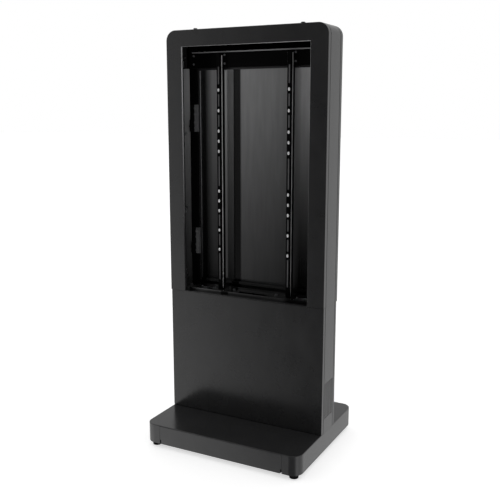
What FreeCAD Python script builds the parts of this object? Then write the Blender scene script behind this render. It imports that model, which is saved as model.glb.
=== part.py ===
import FreeCAD, Part
import math
import os

# Free-standing touchscreen kiosk enclosure for a portrait 55 inch panel.
# Millimetres. +Z up, the display opening faces -Y, +X is the viewer's right.
# The origin is on the floor, under the middle of the kiosk.

V = FreeCAD.Vector
os.makedirs("parts", exist_ok=True)

# ---------------------------------------------------------------- driving dimensions
SHEET = 2.0                    # folded sheet steel of every skin
HEAD_HALF_W = 427.0
HEAD_TOP = 2060.0
HEAD_CORNER_R = 50.0
FACE = 88.0                    # front face at -FACE, rear face at +FACE
SPLIT_Z = 760.0                # the head stands on the column here
SKIN_HALF_Y = 58.0             # side skins end here, front and back
GROOVE = 4.0                   # shadow gap between side skins and the front or rear pan
PAN_EDGE = SKIN_HALF_Y + GROOVE
FLANGE_Y = 56.0                # outer face of the inward flanges of the side skins

OPENING_HALF_W = 342.0         # display opening
OPENING_TOP = 1982.0
LIP_DEPTH = 20.0               # the bezel turns back by this much round the opening
DOOR_GAP_Z = 1.0               # front door above the head's lower edge

COLUMN_HALF_W = 426.0
COLUMN_FRONT = -83.5
COLUMN_REAR = 81.0
COLUMN_COVER_TOP = SPLIT_Z - 1.0
VENT_ROWS = 14
VENT_PITCH = 13.2
VENT_FIRST_Z = 200.0
VENT_HEIGHT = 5.0
VENT_LENGTH = 30.0
VENT_COLUMNS = (-36.0, 0.0, 36.0)

BASE_HALF_W = 425.0
BASE_HALF_D = 350.0
BASE_BOTTOM = 25.0
BASE_TOP = 122.0
BASE_CORNER_R = 52.0
BASE_COVER_HALF_W = 337.25     # removable front piece of the plinth
BASE_COVER_GAP = 1.25
BASE_PLATE_T = 10.0
BASE_PLATE_Z = 27.0
BASE_PLATE_HALF_W = 405.0
BASE_PLATE_HALF_D = 332.0
SPINE_HALF_Y = 50.0
FOOT_X = 383.0
FOOT_Y = 308.0
FOOT_R = 22.0
STUD_R = 6.0
ANCHOR_X = 340.0
ANCHOR_Y = 260.0
ANCHOR_R = 6.5

RAIL_X = 192.0                 # display mounting rails
RAIL_FRONT = 12.0
RAIL_HALF_W = 10.5
RAIL_BACK = 47.0
RAIL_T = 2.5
RAIL_TOP = 1950.0
MOUNT_Z = 1376.0               # middle of the display's bolt pattern
MOUNT_STEPS = (100.0, 150.0, 200.0, 300.0, 400.0)
MOUNT_HOLE_R = 4.5
BEAM_LOW = 1886.0
BEAM_HIGH = 1965.0
BEAM_Y = (47.0, 50.0)

POST_X = (340.0, 382.0)        # uprights beside the rear door
POST_Y = (50.0, 86.0)
POST_TOP = 1990.0
POST_MID_X = 353.0
BEAM_BOLT_Z = (1905.0, 1946.0)
LUG_BOLT_X = 18.5              # rail lug bolts either side of a rail's middle

# rear doors: opening half width, bottom, top, and the rear face they lie in
HEAD_DOOR = dict(half=338.0, low=792.0, high=1888.0, face=FACE)
SERVICE_DOOR = dict(half=300.0, low=200.0, high=700.0, face=COLUMN_REAR)
DOOR_GAP = 3.0
DOOR_RETURN = 18.0
STOP_DEPTH = 26.0              # stop flange behind the rear face
STOP_W = 12.0
HEAD_HINGE_Z = (1638.0, 1004.0)
SERVICE_HINGE_Z = (590.0, 310.0)
REAR_HINGE_H = 140.0
SERVICE_HINGE_H = 80.0
REAR_BARREL_R = 4.0
REAR_PIN_R = 2.0
HEAD_LOCK = dict(x=310.0, z=(1600.0, 1080.0))
SERVICE_LOCK = dict(x=272.0, z=(450.0,))
LOCK_FIT = 0.05                # radial running clearance of turning fits

FRONT_AXIS = (-422.0, -64.5)   # hinge line of the front door
FRONT_HINGE_Z = (1880.0, 1400.0, 920.0)
FRONT_HINGE_H = 100.0
FRONT_BARREL_R = 2.6
FRONT_PIN_R = 1.5
LATCH_X = 402.0
LATCH_Z = (1700.0, 1050.0)
LATCH_R = 5.0

FAN_X = 275.0
FAN_SIZE = 92.0
FAN_DEPTH = 25.0
FAN_DUCT_R = 43.0
FAN_BOLT = 41.25
FAN_TOP = SPLIT_Z - 3.0

INLET_X = -292.0
INLET_Z = 155.0
INLET_PINS = [(INLET_X - 18, INLET_Z - 1.5), (INLET_X - 4, INLET_Z - 1.5), (INLET_X - 11, INLET_Z + 2.5)]

COVER_SCREW_X = 410.0          # screws that hold the fixed pans from inside
COVER_SCREW_Z = dict(column=(170.0, 440.0, 720.0), head=(800.0, 1180.0, 1560.0, 1940.0))
PLINTH_SCREW_X = (-280.0, -95.0, 95.0, 280.0)
PLINTH_SCREW_Y = -322.0
CABLE_HALF_W = 100.0           # cable passage from the floor up into the column
CABLE_HALF_D = 30.0
PLATE_HALF_W = 423.9           # plates and shelf between the side skins
PLATE_HALF_D = 54.0
M6_CLEAR = 3.3                 # radii of clearance holes
M5_CLEAR = 2.7
M8_CLEAR = 4.2
M10_CLEAR = 5.2
M4_CLEAR = 2.2

LIFT_BOLTS = [(sx * 285.0, sy * 45.0) for sx in (-1, 1) for sy in (-1, 1)]
COLUMN_BOLTS = [(x, y) for x in (-370.0, -170.0, 170.0, 370.0) for y in (-28.0, 28.0)]
HEAD_BOLTS = [(x, y) for x in (-380.0, -120.0, 120.0, 380.0) for y in (-36.0, 36.0)]


# ---------------------------------------------------------------- small shape helpers
def box(x, y, z):
    """A box from three (low, high) pairs, in either order."""
    (x0, x1), (y0, y1), (z0, z1) = (sorted(pair) for pair in (x, y, z))
    return Part.makeBox(x1 - x0, y1 - y0, z1 - z0, V(x0, y0, z0))


def rod(r, start, end):
    """A round bar between two points."""
    a, b = V(*start), V(*end)
    return Part.makeCylinder(r, (b - a).Length, a, b - a)


def tube(r_out, r_in, start, end):
    return rod(r_out, start, end).cut(rod(r_in, start, end))


def hexagon(flats, start, end):
    """A hexagonal bar across the given flats, along X, Y or Z."""
    a, b = V(*start), V(*end)
    along = (b - a).normalize()
    side = V(1, 0, 0) if abs(along.x) < 0.5 else V(0, 0, 1)
    other = along.cross(side)
    r = flats / math.sqrt(3)
    ring = []
    for i in range(7):
        t = math.radians(60 * i)
        ring.append(a + side * (r * math.cos(t)) + other * (r * math.sin(t)))
    return Part.Face(Part.makePolygon(ring)).extrude(V(*end) - a)


def arch(half_w, low, high, r, y0, y1):
    """An upright slab with two round top corners, from y0 to y1."""
    d = r * (1 - math.sqrt(0.5))
    p = [V(-half_w, y0, low), V(-half_w, y0, high - r), V(-half_w + d, y0, high - d),
         V(-half_w + r, y0, high), V(half_w - r, y0, high), V(half_w - d, y0, high - d),
         V(half_w, y0, high - r), V(half_w, y0, low)]
    edges = [Part.LineSegment(p[0], p[1]), Part.Arc(p[1], p[2], p[3]), Part.LineSegment(p[3], p[4]),
             Part.Arc(p[4], p[5], p[6]), Part.LineSegment(p[6], p[7]), Part.LineSegment(p[7], p[0])]
    wire = Part.Wire([e.toShape() for e in edges])
    return Part.Face(wire).extrude(V(0, y1 - y0, 0))


def round_slab(half_w, half_d, r, z0, z1):
    """A horizontal slab with four round corners."""
    shape = box((-half_w + r, half_w - r), (-half_d, half_d), (z0, z1))
    shape = shape.fuse(box((-half_w, half_w), (-half_d + r, half_d - r), (z0, z1)))
    for sx in (-1, 1):
        for sy in (-1, 1):
            x, y = sx * (half_w - r), sy * (half_d - r)
            shape = shape.fuse(rod(r, (x, y, z0), (x, y, z1)))
    return shape.removeSplitter()


def slot(x, y, z, length, height, along):
    """A cutter for a slot with round ends in a wall. Its wall's normal is X or Y."""
    r = height / 2
    run = length / 2 - r
    if along == "y":
        cutter = box(x, (y - run, y + run), (z - r, z + r))
        for s in (-run, run):
            cutter = cutter.fuse(rod(r, (x[0], y + s, z), (x[1], y + s, z)))
        return cutter
    if along == "x":
        cutter = box((x - run, x + run), y, (z - r, z + r))
        for s in (-run, run):
            cutter = cutter.fuse(rod(r, (x + s, y[0], z), (x + s, y[1], z)))
        return cutter
    cutter = box((x - r, x + r), y, (z - run, z + run))
    for s in (-run, run):
        cutter = cutter.fuse(rod(r, (x, y[0], z + s), (x, y[1], z + s)))
    return cutter


def union(shapes):
    first, rest = shapes[0], list(shapes[1:])
    return first.fuse(rest).removeSplitter() if rest else first


def near(a, b):
    return abs(a - b) < 0.01


def fillet_plane(shape, r, test):
    """Round every edge whose whole length passes the test."""
    edges = [e for e in shape.Edges if all(test(p) for p in e.discretize(3))]
    return shape.makeFillet(r, edges)


def write(node, *solids):
    """One STEP file for each node. Several solids make a group."""
    shapes = []
    for solid in solids:
        shapes.extend(solid.Solids)
    shape = shapes[0] if len(shapes) == 1 else Part.makeCompound(shapes)
    shape.exportStep("parts/" + node + ".step")
    volume = sum(s.Volume for s in shapes)
    print(f"{node:32s} solids {len(shapes):2d}  valid {shape.isValid()}  {volume / 1000:10.1f} cm3")


# ---------------------------------------------------------------- plinth
def cable_passage(z0, z1):
    """Cutter for the passage that brings cables up from the floor."""
    return box((-CABLE_HALF_W, CABLE_HALF_W), (-CABLE_HALF_D, CABLE_HALF_D), (z0, z1))


def base_plate():
    top = BASE_PLATE_Z + BASE_PLATE_T
    plate = round_slab(BASE_PLATE_HALF_W, BASE_PLATE_HALF_D, 36.0, BASE_PLATE_Z, top)
    for sx in (-1, 1):
        for sy in (-1, 1):
            x, y = sx * FOOT_X, sy * FOOT_Y
            plate = plate.fuse(rod(14.0, (x, y, top), (x, y, top + 22)))
            plate = plate.cut(rod(STUD_R + LOCK_FIT, (x, y, 0), (x, y, 100)))
            ax, ay = sx * ANCHOR_X, sy * ANCHOR_Y
            plate = plate.cut(rod(ANCHOR_R, (ax, ay, 0), (ax, ay, 100)))
    plate = plate.cut(cable_passage(0, 100))
    for x in PLINTH_SCREW_X:
        plate = plate.cut(rod(2.6, (x, PLINTH_SCREW_Y, 0), (x, PLINTH_SCREW_Y, 60)))
    return plate


def base_spine():
    """Box section under the column, on the base plate."""
    low, high = BASE_PLATE_Z + BASE_PLATE_T, BASE_TOP - SHEET
    spine = box((-400, 400), (-SPINE_HALF_Y, SPINE_HALF_Y), (low, high))
    spine = spine.cut(box((-401, 401), (-SPINE_HALF_Y + 4, SPINE_HALF_Y - 4), (low + 4, high - 4)))
    spine = spine.cut(cable_passage(low - 1, high + 1))
    for x, y in COLUMN_BOLTS:
        spine = spine.cut(rod(M10_CLEAR, (x, y, high - 6), (x, y, high + 1)))
    return spine


def base_ribs():
    """Four flat ribs that carry the plinth's top in front of and behind the spine."""
    low, high = BASE_PLATE_Z + BASE_PLATE_T, BASE_TOP - SHEET
    ribs = []
    for x in (-210.0, 210.0):
        for s in (-1, 1):
            rib = box((x - 2, x + 2), (s * SPINE_HALF_Y, s * 325), (low, high))
            hole = rod(24.0, (x - 3, s * 190, 78), (x + 3, s * 190, 78))
            ribs.append(rib.cut(hole))
    return ribs


def base_cover():
    """Folded plinth cover, open below, with a gap in its front wall for the front piece."""
    cover = round_slab(BASE_HALF_W, BASE_HALF_D, BASE_CORNER_R, BASE_BOTTOM, BASE_TOP)
    cover = fillet_plane(cover, 3.0, lambda p: near(p.z, BASE_TOP))
    cover = cover.cut(round_slab(BASE_HALF_W - SHEET, BASE_HALF_D - SHEET, BASE_CORNER_R - SHEET,
                                 BASE_BOTTOM - 1, BASE_TOP - SHEET))
    half = BASE_COVER_HALF_W + BASE_COVER_GAP
    cover = cover.cut(box((-half, half), (-BASE_HALF_D - 1, -BASE_HALF_D + SHEET + 0.1),
                          (BASE_BOTTOM - 1, BASE_TOP - 3.2)))
    cover = cover.cut(cable_passage(100, 130))
    for x, y in COLUMN_BOLTS:
        cover = cover.cut(rod(M10_CLEAR, (x, y, 110), (x, y, 130)))
    return cover


def base_front_cover():
    """Removable front piece: a face with a top flange, side returns and a bottom flange."""
    half, face = BASE_COVER_HALF_W, -BASE_HALF_D
    top = BASE_TOP - 4.2
    cover = box((-half, half), (face, face + SHEET), (BASE_BOTTOM, top))
    cover = cover.fuse(box((-half, half), (face, face + 20), (top - SHEET, top)))
    cover = cover.fuse(box((-half, half), (face, -312), (BASE_BOTTOM, BASE_BOTTOM + SHEET)))
    for s in (-1, 1):
        cover = cover.fuse(box((s * half, s * (half - SHEET)), (face, face + 15), (BASE_BOTTOM, top)))
    cover = cover.removeSplitter()
    for s in (-1, 1):
        notch = box((s * (half + 1), s * (half - 6)), (face - 1, face + 40),
                    (BASE_BOTTOM - 1, BASE_BOTTOM + 22))
        cover = cover.cut(notch)
    for x in PLINTH_SCREW_X:
        cover = cover.cut(rod(2.6, (x, PLINTH_SCREW_Y, 0), (x, PLINTH_SCREW_Y, 60)))
    return cover


def base_cover_screws():
    screws = []
    for x in PLINTH_SCREW_X:
        head = rod(5.0, (x, PLINTH_SCREW_Y, BASE_BOTTOM - 2.5), (x, PLINTH_SCREW_Y, BASE_BOTTOM))
        screws.append(head.fuse(rod(2.5, (x, PLINTH_SCREW_Y, BASE_BOTTOM - 1), (x, PLINTH_SCREW_Y, 36))))
    return screws


def foot(x, y):
    """Levelling foot: a moulded pad on a threaded stud."""
    pad = rod(FOOT_R, (x, y, 0), (x, y, 17))
    pad = fillet_plane(pad, 2.0, lambda p: near(p.z, 0) or near(p.z, 17))
    neck = Part.makeCone(17.0, 11.0, 5.0, V(x, y, 17), V(0, 0, 1))
    nut = hexagon(17.0, (x, y, 22), (x, y, 26.5))
    return union([pad, neck, nut, rod(STUD_R, (x, y, 10), (x, y, 82))])


# ---------------------------------------------------------------- column
def column_side(s):
    """Side skin with its two inward flanges and the air slots. s is -1 left, +1 right."""
    inner = COLUMN_HALF_W - SHEET
    side = box((s * inner, s * COLUMN_HALF_W), (-SKIN_HALF_Y, SKIN_HALF_Y), (BASE_TOP, COLUMN_COVER_TOP))
    for t in (-1, 1):
        side = side.fuse(box((s * inner, s * (inner - 28)), (t * FLANGE_Y, t * (FLANGE_Y - SHEET)),
                             (BASE_TOP + 1, COLUMN_COVER_TOP - 3)))
    side = side.removeSplitter()
    cutters = []
    x = (inner - 1, COLUMN_HALF_W + 1) if s > 0 else (-COLUMN_HALF_W - 1, -inner + 1)
    for row in range(VENT_ROWS):
        for y in VENT_COLUMNS:
            z = VENT_FIRST_Z + row * VENT_PITCH
            cutters.append(slot(x, y, z, VENT_LENGTH, VENT_HEIGHT, "y"))
    side = side.cut(Part.makeCompound(cutters))
    for z in COVER_SCREW_Z["column"]:
        side = side.cut(rod(M5_CLEAR, (s * COVER_SCREW_X, -70, z), (s * COVER_SCREW_X, 70, z)))
    return side


def column_bottom_plate():
    plate = box((-PLATE_HALF_W, PLATE_HALF_W), (-PLATE_HALF_D, PLATE_HALF_D), (BASE_TOP, BASE_TOP + 5))
    plate = plate.cut(cable_passage(110, 140))
    for x, y in COLUMN_BOLTS:
        plate = plate.cut(rod(M10_CLEAR, (x, y, 110), (x, y, 140)))
    return plate


def fan_openings(plate, z0, z1):
    for s in (-1, 1):
        plate = plate.cut(rod(FAN_DUCT_R, (s * FAN_X, 0, z0), (s * FAN_X, 0, z1)))
        for dx in (-FAN_BOLT, FAN_BOLT):
            for dy in (-FAN_BOLT, FAN_BOLT):
                plate = plate.cut(rod(M4_CLEAR, (s * FAN_X + dx, dy, z0), (s * FAN_X + dx, dy, z1)))
    return plate


def column_top_plate():
    plate = box((-PLATE_HALF_W, PLATE_HALF_W), (-PLATE_HALF_D, PLATE_HALF_D), (SPLIT_Z - 3, SPLIT_Z))
    plate = plate.cut(box((-80, 80), (-30, 30), (700, 800)))
    for x, y in HEAD_BOLTS:
        plate = plate.cut(rod(M8_CLEAR, (x, y, 700), (x, y, 800)))
    for s in (-1, 1):
        plate = plate.cut(rod(M6_CLEAR, (s * RAIL_X, 30, 700), (s * RAIL_X, 30, 800)))
    return fan_openings(plate, 700, 800)


def column_front_cover():
    """Front pan of the column, folded back on all four sides, with fixing flanges."""
    low, high = BASE_TOP + 2, COLUMN_COVER_TOP
    pan = box((-COLUMN_HALF_W, COLUMN_HALF_W), (COLUMN_FRONT, -PAN_EDGE), (low, high))
    pan = fillet_plane(pan, 1.5, lambda p: near(p.y, COLUMN_FRONT))
    inner = COLUMN_HALF_W - SHEET
    pan = pan.cut(box((-inner, inner), (COLUMN_FRONT + SHEET, 0), (low + SHEET, high - SHEET)))
    for s in (-1, 1):
        flange = box((s * inner, s * (inner - 24)), (-PAN_EDGE, -PAN_EDGE - SHEET), (low, high))
        pan = pan.fuse(flange)
        for z in COVER_SCREW_Z["column"]:
            pan = pan.cut(rod(M5_CLEAR, (s * COVER_SCREW_X, -70, z), (s * COVER_SCREW_X, -50, z)))
    return pan.removeSplitter()


def rear_opening(door):
    """Lip and stop flange round a rear door opening, as one ring."""
    half, low, high, face = door["half"], door["low"], door["high"], door["face"]
    back = face - STOP_DEPTH
    outer = box((-half - SHEET, half + SHEET), (back, face - 1), (low - SHEET, high + SHEET))
    ring = outer.cut(box((-half, half), (back + SHEET, face), (low, high)))
    hole_x, hole_z = half - STOP_W, (low + STOP_W, high - STOP_W)
    return ring.cut(box((-hole_x, hole_x), (back - 1, face), hole_z))


def rear_frame(pan, door, screw_z):
    """A rear pan with its door opening and its screw holes."""
    half, low, high = door["half"], door["low"], door["high"]
    pan = pan.cut(box((-half, half), (door["face"] - 5, door["face"] + 1), (low, high)))
    pan = pan.fuse(rear_opening(door))
    for s in (-1, 1):
        for z in screw_z:
            pan = pan.cut(rod(M5_CLEAR, (s * COVER_SCREW_X, 50, z), (s * COVER_SCREW_X, 70, z)))
    return pan.removeSplitter()


def column_rear_frame():
    low, high = BASE_TOP + 2, COLUMN_COVER_TOP
    pan = box((-COLUMN_HALF_W, COLUMN_HALF_W), (PAN_EDGE, COLUMN_REAR), (low, high))
    pan = fillet_plane(pan, 1.5, lambda p: near(p.y, COLUMN_REAR))
    inner = COLUMN_HALF_W - SHEET
    pan = pan.cut(box((-inner, inner), (0, COLUMN_REAR - SHEET), (low + SHEET, high - SHEET)))
    for s in (-1, 1):
        pan = pan.fuse(box((s * inner, s * (inner - 24)), (PAN_EDGE, PAN_EDGE + SHEET), (low, high)))
    pan = pan.cut(box((INLET_X - 27, INLET_X + 27), (70, 90), (INLET_Z - 14, INLET_Z + 14)))
    return rear_frame(pan, SERVICE_DOOR, COVER_SCREW_Z["column"])


def head_rear_frame():
    low, high, r = SPLIT_Z, HEAD_TOP, HEAD_CORNER_R
    pan = arch(HEAD_HALF_W, low, high, r, PAN_EDGE, FACE)
    pan = fillet_plane(pan, 1.5, lambda p: near(p.y, FACE))
    inner = HEAD_HALF_W - SHEET
    pan = pan.cut(arch(inner, low + SHEET, high - SHEET, r - SHEET, 0, FACE - SHEET))
    for s in (-1, 1):
        pan = pan.fuse(box((s * inner, s * (inner - 24)), (PAN_EDGE, PAN_EDGE + SHEET), (low, high - r)))
    cutters = []
    for z in (2008.0, 2021.2, 2034.4):
        for x in (-250.0, -150.0, -50.0, 50.0, 150.0, 250.0):
            cutters.append(slot(x, (80, 95), z, 80.0, VENT_HEIGHT, "x"))
    pan = pan.cut(Part.makeCompound(cutters))
    return rear_frame(pan, HEAD_DOOR, COVER_SCREW_Z["head"])


def cover_fixings():
    """Spacers in the shadow gap and the screws that hold the three fixed pans from inside."""
    spacers, screws = [], []
    places = [(z, -1) for z in COVER_SCREW_Z["column"]]
    places += [(z, 1) for z in COVER_SCREW_Z["column"] + COVER_SCREW_Z["head"]]
    for z, t in places:
        for s in (-1, 1):
            x = s * COVER_SCREW_X
            spacers.append(tube(7.0, M5_CLEAR, (x, t * FLANGE_Y, z), (x, t * PAN_EDGE, z)))
            head = rod(5.0, (x, t * 50.5, z), (x, t * (FLANGE_Y - SHEET), z))
            screws.append(head.fuse(rod(2.5, (x, t * 51, z), (x, t * (PAN_EDGE + 5), z))))
    return spacers, screws


def equipment_shelf():
    """Shelf for the computer, folded down at its long sides and up at its ends."""
    shelf = box((-PLATE_HALF_W, PLATE_HALF_W), (-50, 40), (430, 432))
    for y in ((-50, -48), (38, 40)):
        shelf = shelf.fuse(box((-390, 390), y, (412, 432)))
    for s in (-1, 1):
        shelf = shelf.fuse(box((s * PLATE_HALF_W, s * (PLATE_HALF_W - SHEET)), (-50, 40), (430, 455)))
    shelf = shelf.removeSplitter()
    cutters = []
    for x in range(-330, 331, 110):
        for y in (-30.0, -5.0, 20.0):
            cutters.append(box((x - 30, x + 30), (y - 3, y + 3), (420, 440)))
    return shelf.cut(Part.makeCompound(cutters))


def socket_strip():
    strip = box((-330, -50), (-46, -4), (432, 468))
    strip = fillet_plane(strip, 3.0, lambda p: near(p.z, 468))
    for x in (-300.0, -245.0, -190.0, -135.0, -80.0):
        strip = strip.cut(rod(18.5, (x, -25, 456), (x, -25, 470)))
        for dx in (-9.5, 9.5):
            strip = strip.cut(rod(2.5, (x + dx, -25, 444), (x + dx, -25, 458)))
    return strip


def column_bolts():
    bolts = []
    for x, y in COLUMN_BOLTS:
        head = hexagon(17.0, (x, y, BASE_TOP + 6.6), (x, y, BASE_TOP + 13))
        washer = rod(10.0, (x, y, BASE_TOP + 5), (x, y, BASE_TOP + 6.8))
        bolts.append(union([head, washer, rod(5.0, (x, y, 104), (x, y, BASE_TOP + 8))]))
    return bolts


# ---------------------------------------------------------------- fans and mains inlet
def fan_housing(s):
    x = s * FAN_X
    half = FAN_SIZE / 2
    low = FAN_TOP - FAN_DEPTH
    frame = box((x - half, x + half), (-half, half), (low, FAN_TOP))
    frame = frame.cut(rod(FAN_DUCT_R, (x, 0, low - 1), (x, 0, FAN_TOP + 1)))
    hub = rod(17.0, (x, 0, low), (x, 0, low + 4))
    arms = box((x - 44, x + 44), (-2, 2), (low, low + 3))
    arms = arms.fuse(box((x - 2, x + 2), (-44, 44), (low, low + 3)))
    frame = union([frame, arms, hub])
    frame = frame.cut(rod(2.0 + LOCK_FIT, (x, 0, low - 1), (x, 0, low + 6)))
    for dx in (-FAN_BOLT, FAN_BOLT):
        for dy in (-FAN_BOLT, FAN_BOLT):
            frame = frame.cut(rod(M4_CLEAR, (x + dx, dy, low - 1), (x + dx, dy, FAN_TOP + 1)))
    return frame


def fan_rotor(s):
    """Hub, shaft and seven twisted blades."""
    x = s * FAN_X
    low = FAN_TOP - FAN_DEPTH
    hub = rod(18.0, (x, 0, low + 5), (x, 0, low + 21))
    hub = fillet_plane(hub, 2.0, lambda p: near(p.z, low + 21))
    shaft = rod(2.0, (x, 0, low + 0.5), (x, 0, low + 8))
    blades = []
    for i in range(7):
        blade = box((16.5, 40.5), (-0.9, 0.9), (-8, 8))
        blade.rotate(V(0, 0, 0), V(1, 0, 0), 48)
        blade.translate(V(x, 0, low + 13))
        blade.rotate(V(x, 0, 0), V(0, 0, 1), i * 360 / 7)
        blades.append(blade)
    return union([hub, shaft] + blades)


def fan_guard(s):
    """Ring guard on the head's floor, with arms out to the fan's screws."""
    x, z0, z1 = s * FAN_X, SPLIT_Z + 3, SPLIT_Z + 5
    parts = [tube(r + 1.2, r - 1.2, (x, 0, z0), (x, 0, z1)) for r in (14.0, 23.0, 32.0, 41.0)]
    for angle in (45, 135):
        arm = box((x - 64, x + 64), (-2, 2), (z0, z1))
        arm.rotate(V(x, 0, 0), V(0, 0, 1), angle)
        parts.append(arm)
    for dx in (-FAN_BOLT, FAN_BOLT):
        for dy in (-FAN_BOLT, FAN_BOLT):
            parts.append(rod(5.5, (x + dx, dy, z0), (x + dx, dy, z1)))
    guard = union(parts)
    for dx in (-FAN_BOLT, FAN_BOLT):
        for dy in (-FAN_BOLT, FAN_BOLT):
            guard = guard.cut(rod(M4_CLEAR, (x + dx, dy, z0 - 1), (x + dx, dy, z1 + 1)))
    return guard


def fan_screws():
    screws = []
    for s in (-1, 1):
        for dx in (-FAN_BOLT, FAN_BOLT):
            for dy in (-FAN_BOLT, FAN_BOLT):
                x = s * FAN_X + dx
                head = rod(4.0, (x, dy, SPLIT_Z + 5), (x, dy, SPLIT_Z + 8))
                screws.append(head.fuse(rod(2.0, (x, dy, 734), (x, dy, SPLIT_Z + 6))))
    return screws


def power_inlet():
    """Snap-in mains inlet: a socket recess on the left and a rocker well on the right."""
    flange = box((INLET_X - 31, INLET_X + 31), (COLUMN_REAR, COLUMN_REAR + 2.5),
                 (INLET_Z - 17, INLET_Z + 17))
    flange = fillet_plane(flange, 1.2, lambda p: near(p.y, COLUMN_REAR + 2.5))
    body = box((INLET_X - 26.5, INLET_X + 26.5), (55, COLUMN_REAR + 1), (INLET_Z - 13.5, INLET_Z + 13.5))
    body = flange.fuse(body).removeSplitter()
    sx = INLET_X - 11
    recess = box((sx - 12, sx + 12), (65, 90), (INLET_Z - 8.2, INLET_Z + 8.2))
    recess = fillet_plane(recess, 3.0, lambda p: near(p.z, INLET_Z + 8.2) and near(abs(p.x - sx), 12))
    wx = INLET_X + 16
    well = box((wx - 6, wx + 6), (62, 90), (INLET_Z - 11, INLET_Z + 11))
    pivot = rod(1.5 + LOCK_FIT, (wx - 7.5, 77, INLET_Z), (wx + 7.5, 77, INLET_Z))
    body = body.cut(recess).cut(well).cut(pivot)
    for x, z in INLET_PINS:
        body = body.cut(box((x - 1.1, x + 1.1), (58, 66), (z - 2.3, z + 2.3)))
    return body


def inlet_pins():
    return [box((x - 1.0, x + 1.0), (58.2, 78.5), (z - 2.2, z + 2.2)) for x, z in INLET_PINS]


def power_switch():
    """Rocker with its two pivot stubs, resting with its lower edge pressed in."""
    wx, y, z = INLET_X + 16, 77.0, INLET_Z
    p = [V(wx - 5.6, y - 5, z - 7), V(wx - 5.6, y + 6.5, z - 9.8), V(wx - 5.6, y + 5.2, z),
         V(wx - 5.6, y + 6.5, z + 9.8), V(wx - 5.6, y - 5, z + 7)]
    rocker = Part.Face(Part.makePolygon(p + p[:1])).extrude(V(11.2, 0, 0))
    rocker = rocker.fuse(rod(1.5, (wx - 7.2, y, z), (wx + 7.2, y, z)))
    rocker.rotate(V(wx, y, z), V(1, 0, 0), -8)
    return rocker.removeSplitter()


# ---------------------------------------------------------------- head
def head_shell():
    """One sheet folded over the sides and the top, with inward flanges front and back."""
    low, high, r = SPLIT_Z, HEAD_TOP, HEAD_CORNER_R
    shell = arch(HEAD_HALF_W, low, high, r, -SKIN_HALF_Y, SKIN_HALF_Y)
    shell = shell.cut(arch(HEAD_HALF_W - SHEET, low - 1, high - SHEET, r - SHEET, -90, 90))
    for t in (-1, 1):
        y0, y1 = sorted((t * FLANGE_Y, t * (FLANGE_Y - SHEET)))
        flange = arch(HEAD_HALF_W - SHEET, low + 1, high - SHEET, r - SHEET, y0, y1)
        flange = flange.cut(arch(385, low - 1, high - 42, 20, y0 - 1, y1 + 1))
        shell = shell.fuse(flange)
    shell = shell.removeSplitter()
    for x, y in LIFT_BOLTS:
        shell = shell.cut(rod(6.3, (x, y, high - 10), (x, y, high + 10)))
    for z in LATCH_Z:
        shell = shell.cut(rod(LATCH_R + LOCK_FIT, (LATCH_X, -60, z), (LATCH_X, -50, z)))
    for s in (-1, 1):
        for z in COVER_SCREW_Z["head"]:
            shell = shell.cut(rod(M5_CLEAR, (s * COVER_SCREW_X, 50, z), (s * COVER_SCREW_X, 60, z)))
    return shell


def head_bottom_plate():
    """Floor of the head, turned up along its front and back."""
    low = SPLIT_Z
    plate = box((-PLATE_HALF_W, PLATE_HALF_W), (-PLATE_HALF_D, PLATE_HALF_D), (low, low + 3))
    plate = plate.fuse(box((-384, 384), (-54, -52), (low, low + 16)))
    plate = plate.fuse(box((-338, 338), (52, 54), (low, low + 16)))
    plate = plate.removeSplitter().cut(box((-80, 80), (-30, 30), (700, 800)))
    for x, y in HEAD_BOLTS:
        plate = plate.cut(rod(M8_CLEAR, (x, y, 700), (x, y, 800)))
    for s in (-1, 1):
        plate = plate.cut(rod(M6_CLEAR, (s * RAIL_X, 30, 700), (s * RAIL_X, 30, 800)))
    for s in (-1, 1):
        xs = (s * (POST_X[0] - 0.1), s * (POST_X[1] + 0.1))
        plate = plate.cut(box(xs, (49.9, 60), (low + 3, low + 40)))
    return fan_openings(plate, 700, 800)


def head_bolts():
    bolts = []
    for x, y in HEAD_BOLTS:
        head = hexagon(13.0, (x, y, SPLIT_Z + 4.4), (x, y, SPLIT_Z + 10))
        washer = rod(8.0, (x, y, SPLIT_Z + 3), (x, y, SPLIT_Z + 4.6))
        bolts.append(union([head, washer, rod(4.0, (x, y, 738), (x, y, SPLIT_Z + 6))]))
    return bolts


def lifting_bolts():
    bolts = []
    for x, y in LIFT_BOLTS:
        washer = rod(11.0, (x, y, HEAD_TOP), (x, y, HEAD_TOP + 2))
        head = hexagon(18.0, (x, y, HEAD_TOP + 1.5), (x, y, HEAD_TOP + 9.5))
        nut = hexagon(18.0, (x, y, HEAD_TOP - 12), (x, y, HEAD_TOP - SHEET))
        bolts.append(union([washer, head, nut, rod(6.0, (x, y, HEAD_TOP - 20), (x, y, HEAD_TOP + 5))]))
    return bolts


def head_post(s):
    """Rectangular tube beside the rear door, standing on the head's floor."""
    x = (s * POST_X[0], s * POST_X[1])
    post = box(x, POST_Y, (SPLIT_Z + 3, POST_TOP))
    inner = (s * (POST_X[0] + SHEET), s * (POST_X[1] - SHEET))
    post = post.cut(box(inner, (POST_Y[0] + SHEET, POST_Y[1] - SHEET), (700, 2000)))
    for z in BEAM_BOLT_Z:
        post = post.cut(rod(M6_CLEAR, (s * POST_MID_X, 40, z), (s * POST_MID_X, 53, z)))
    return post


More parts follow.
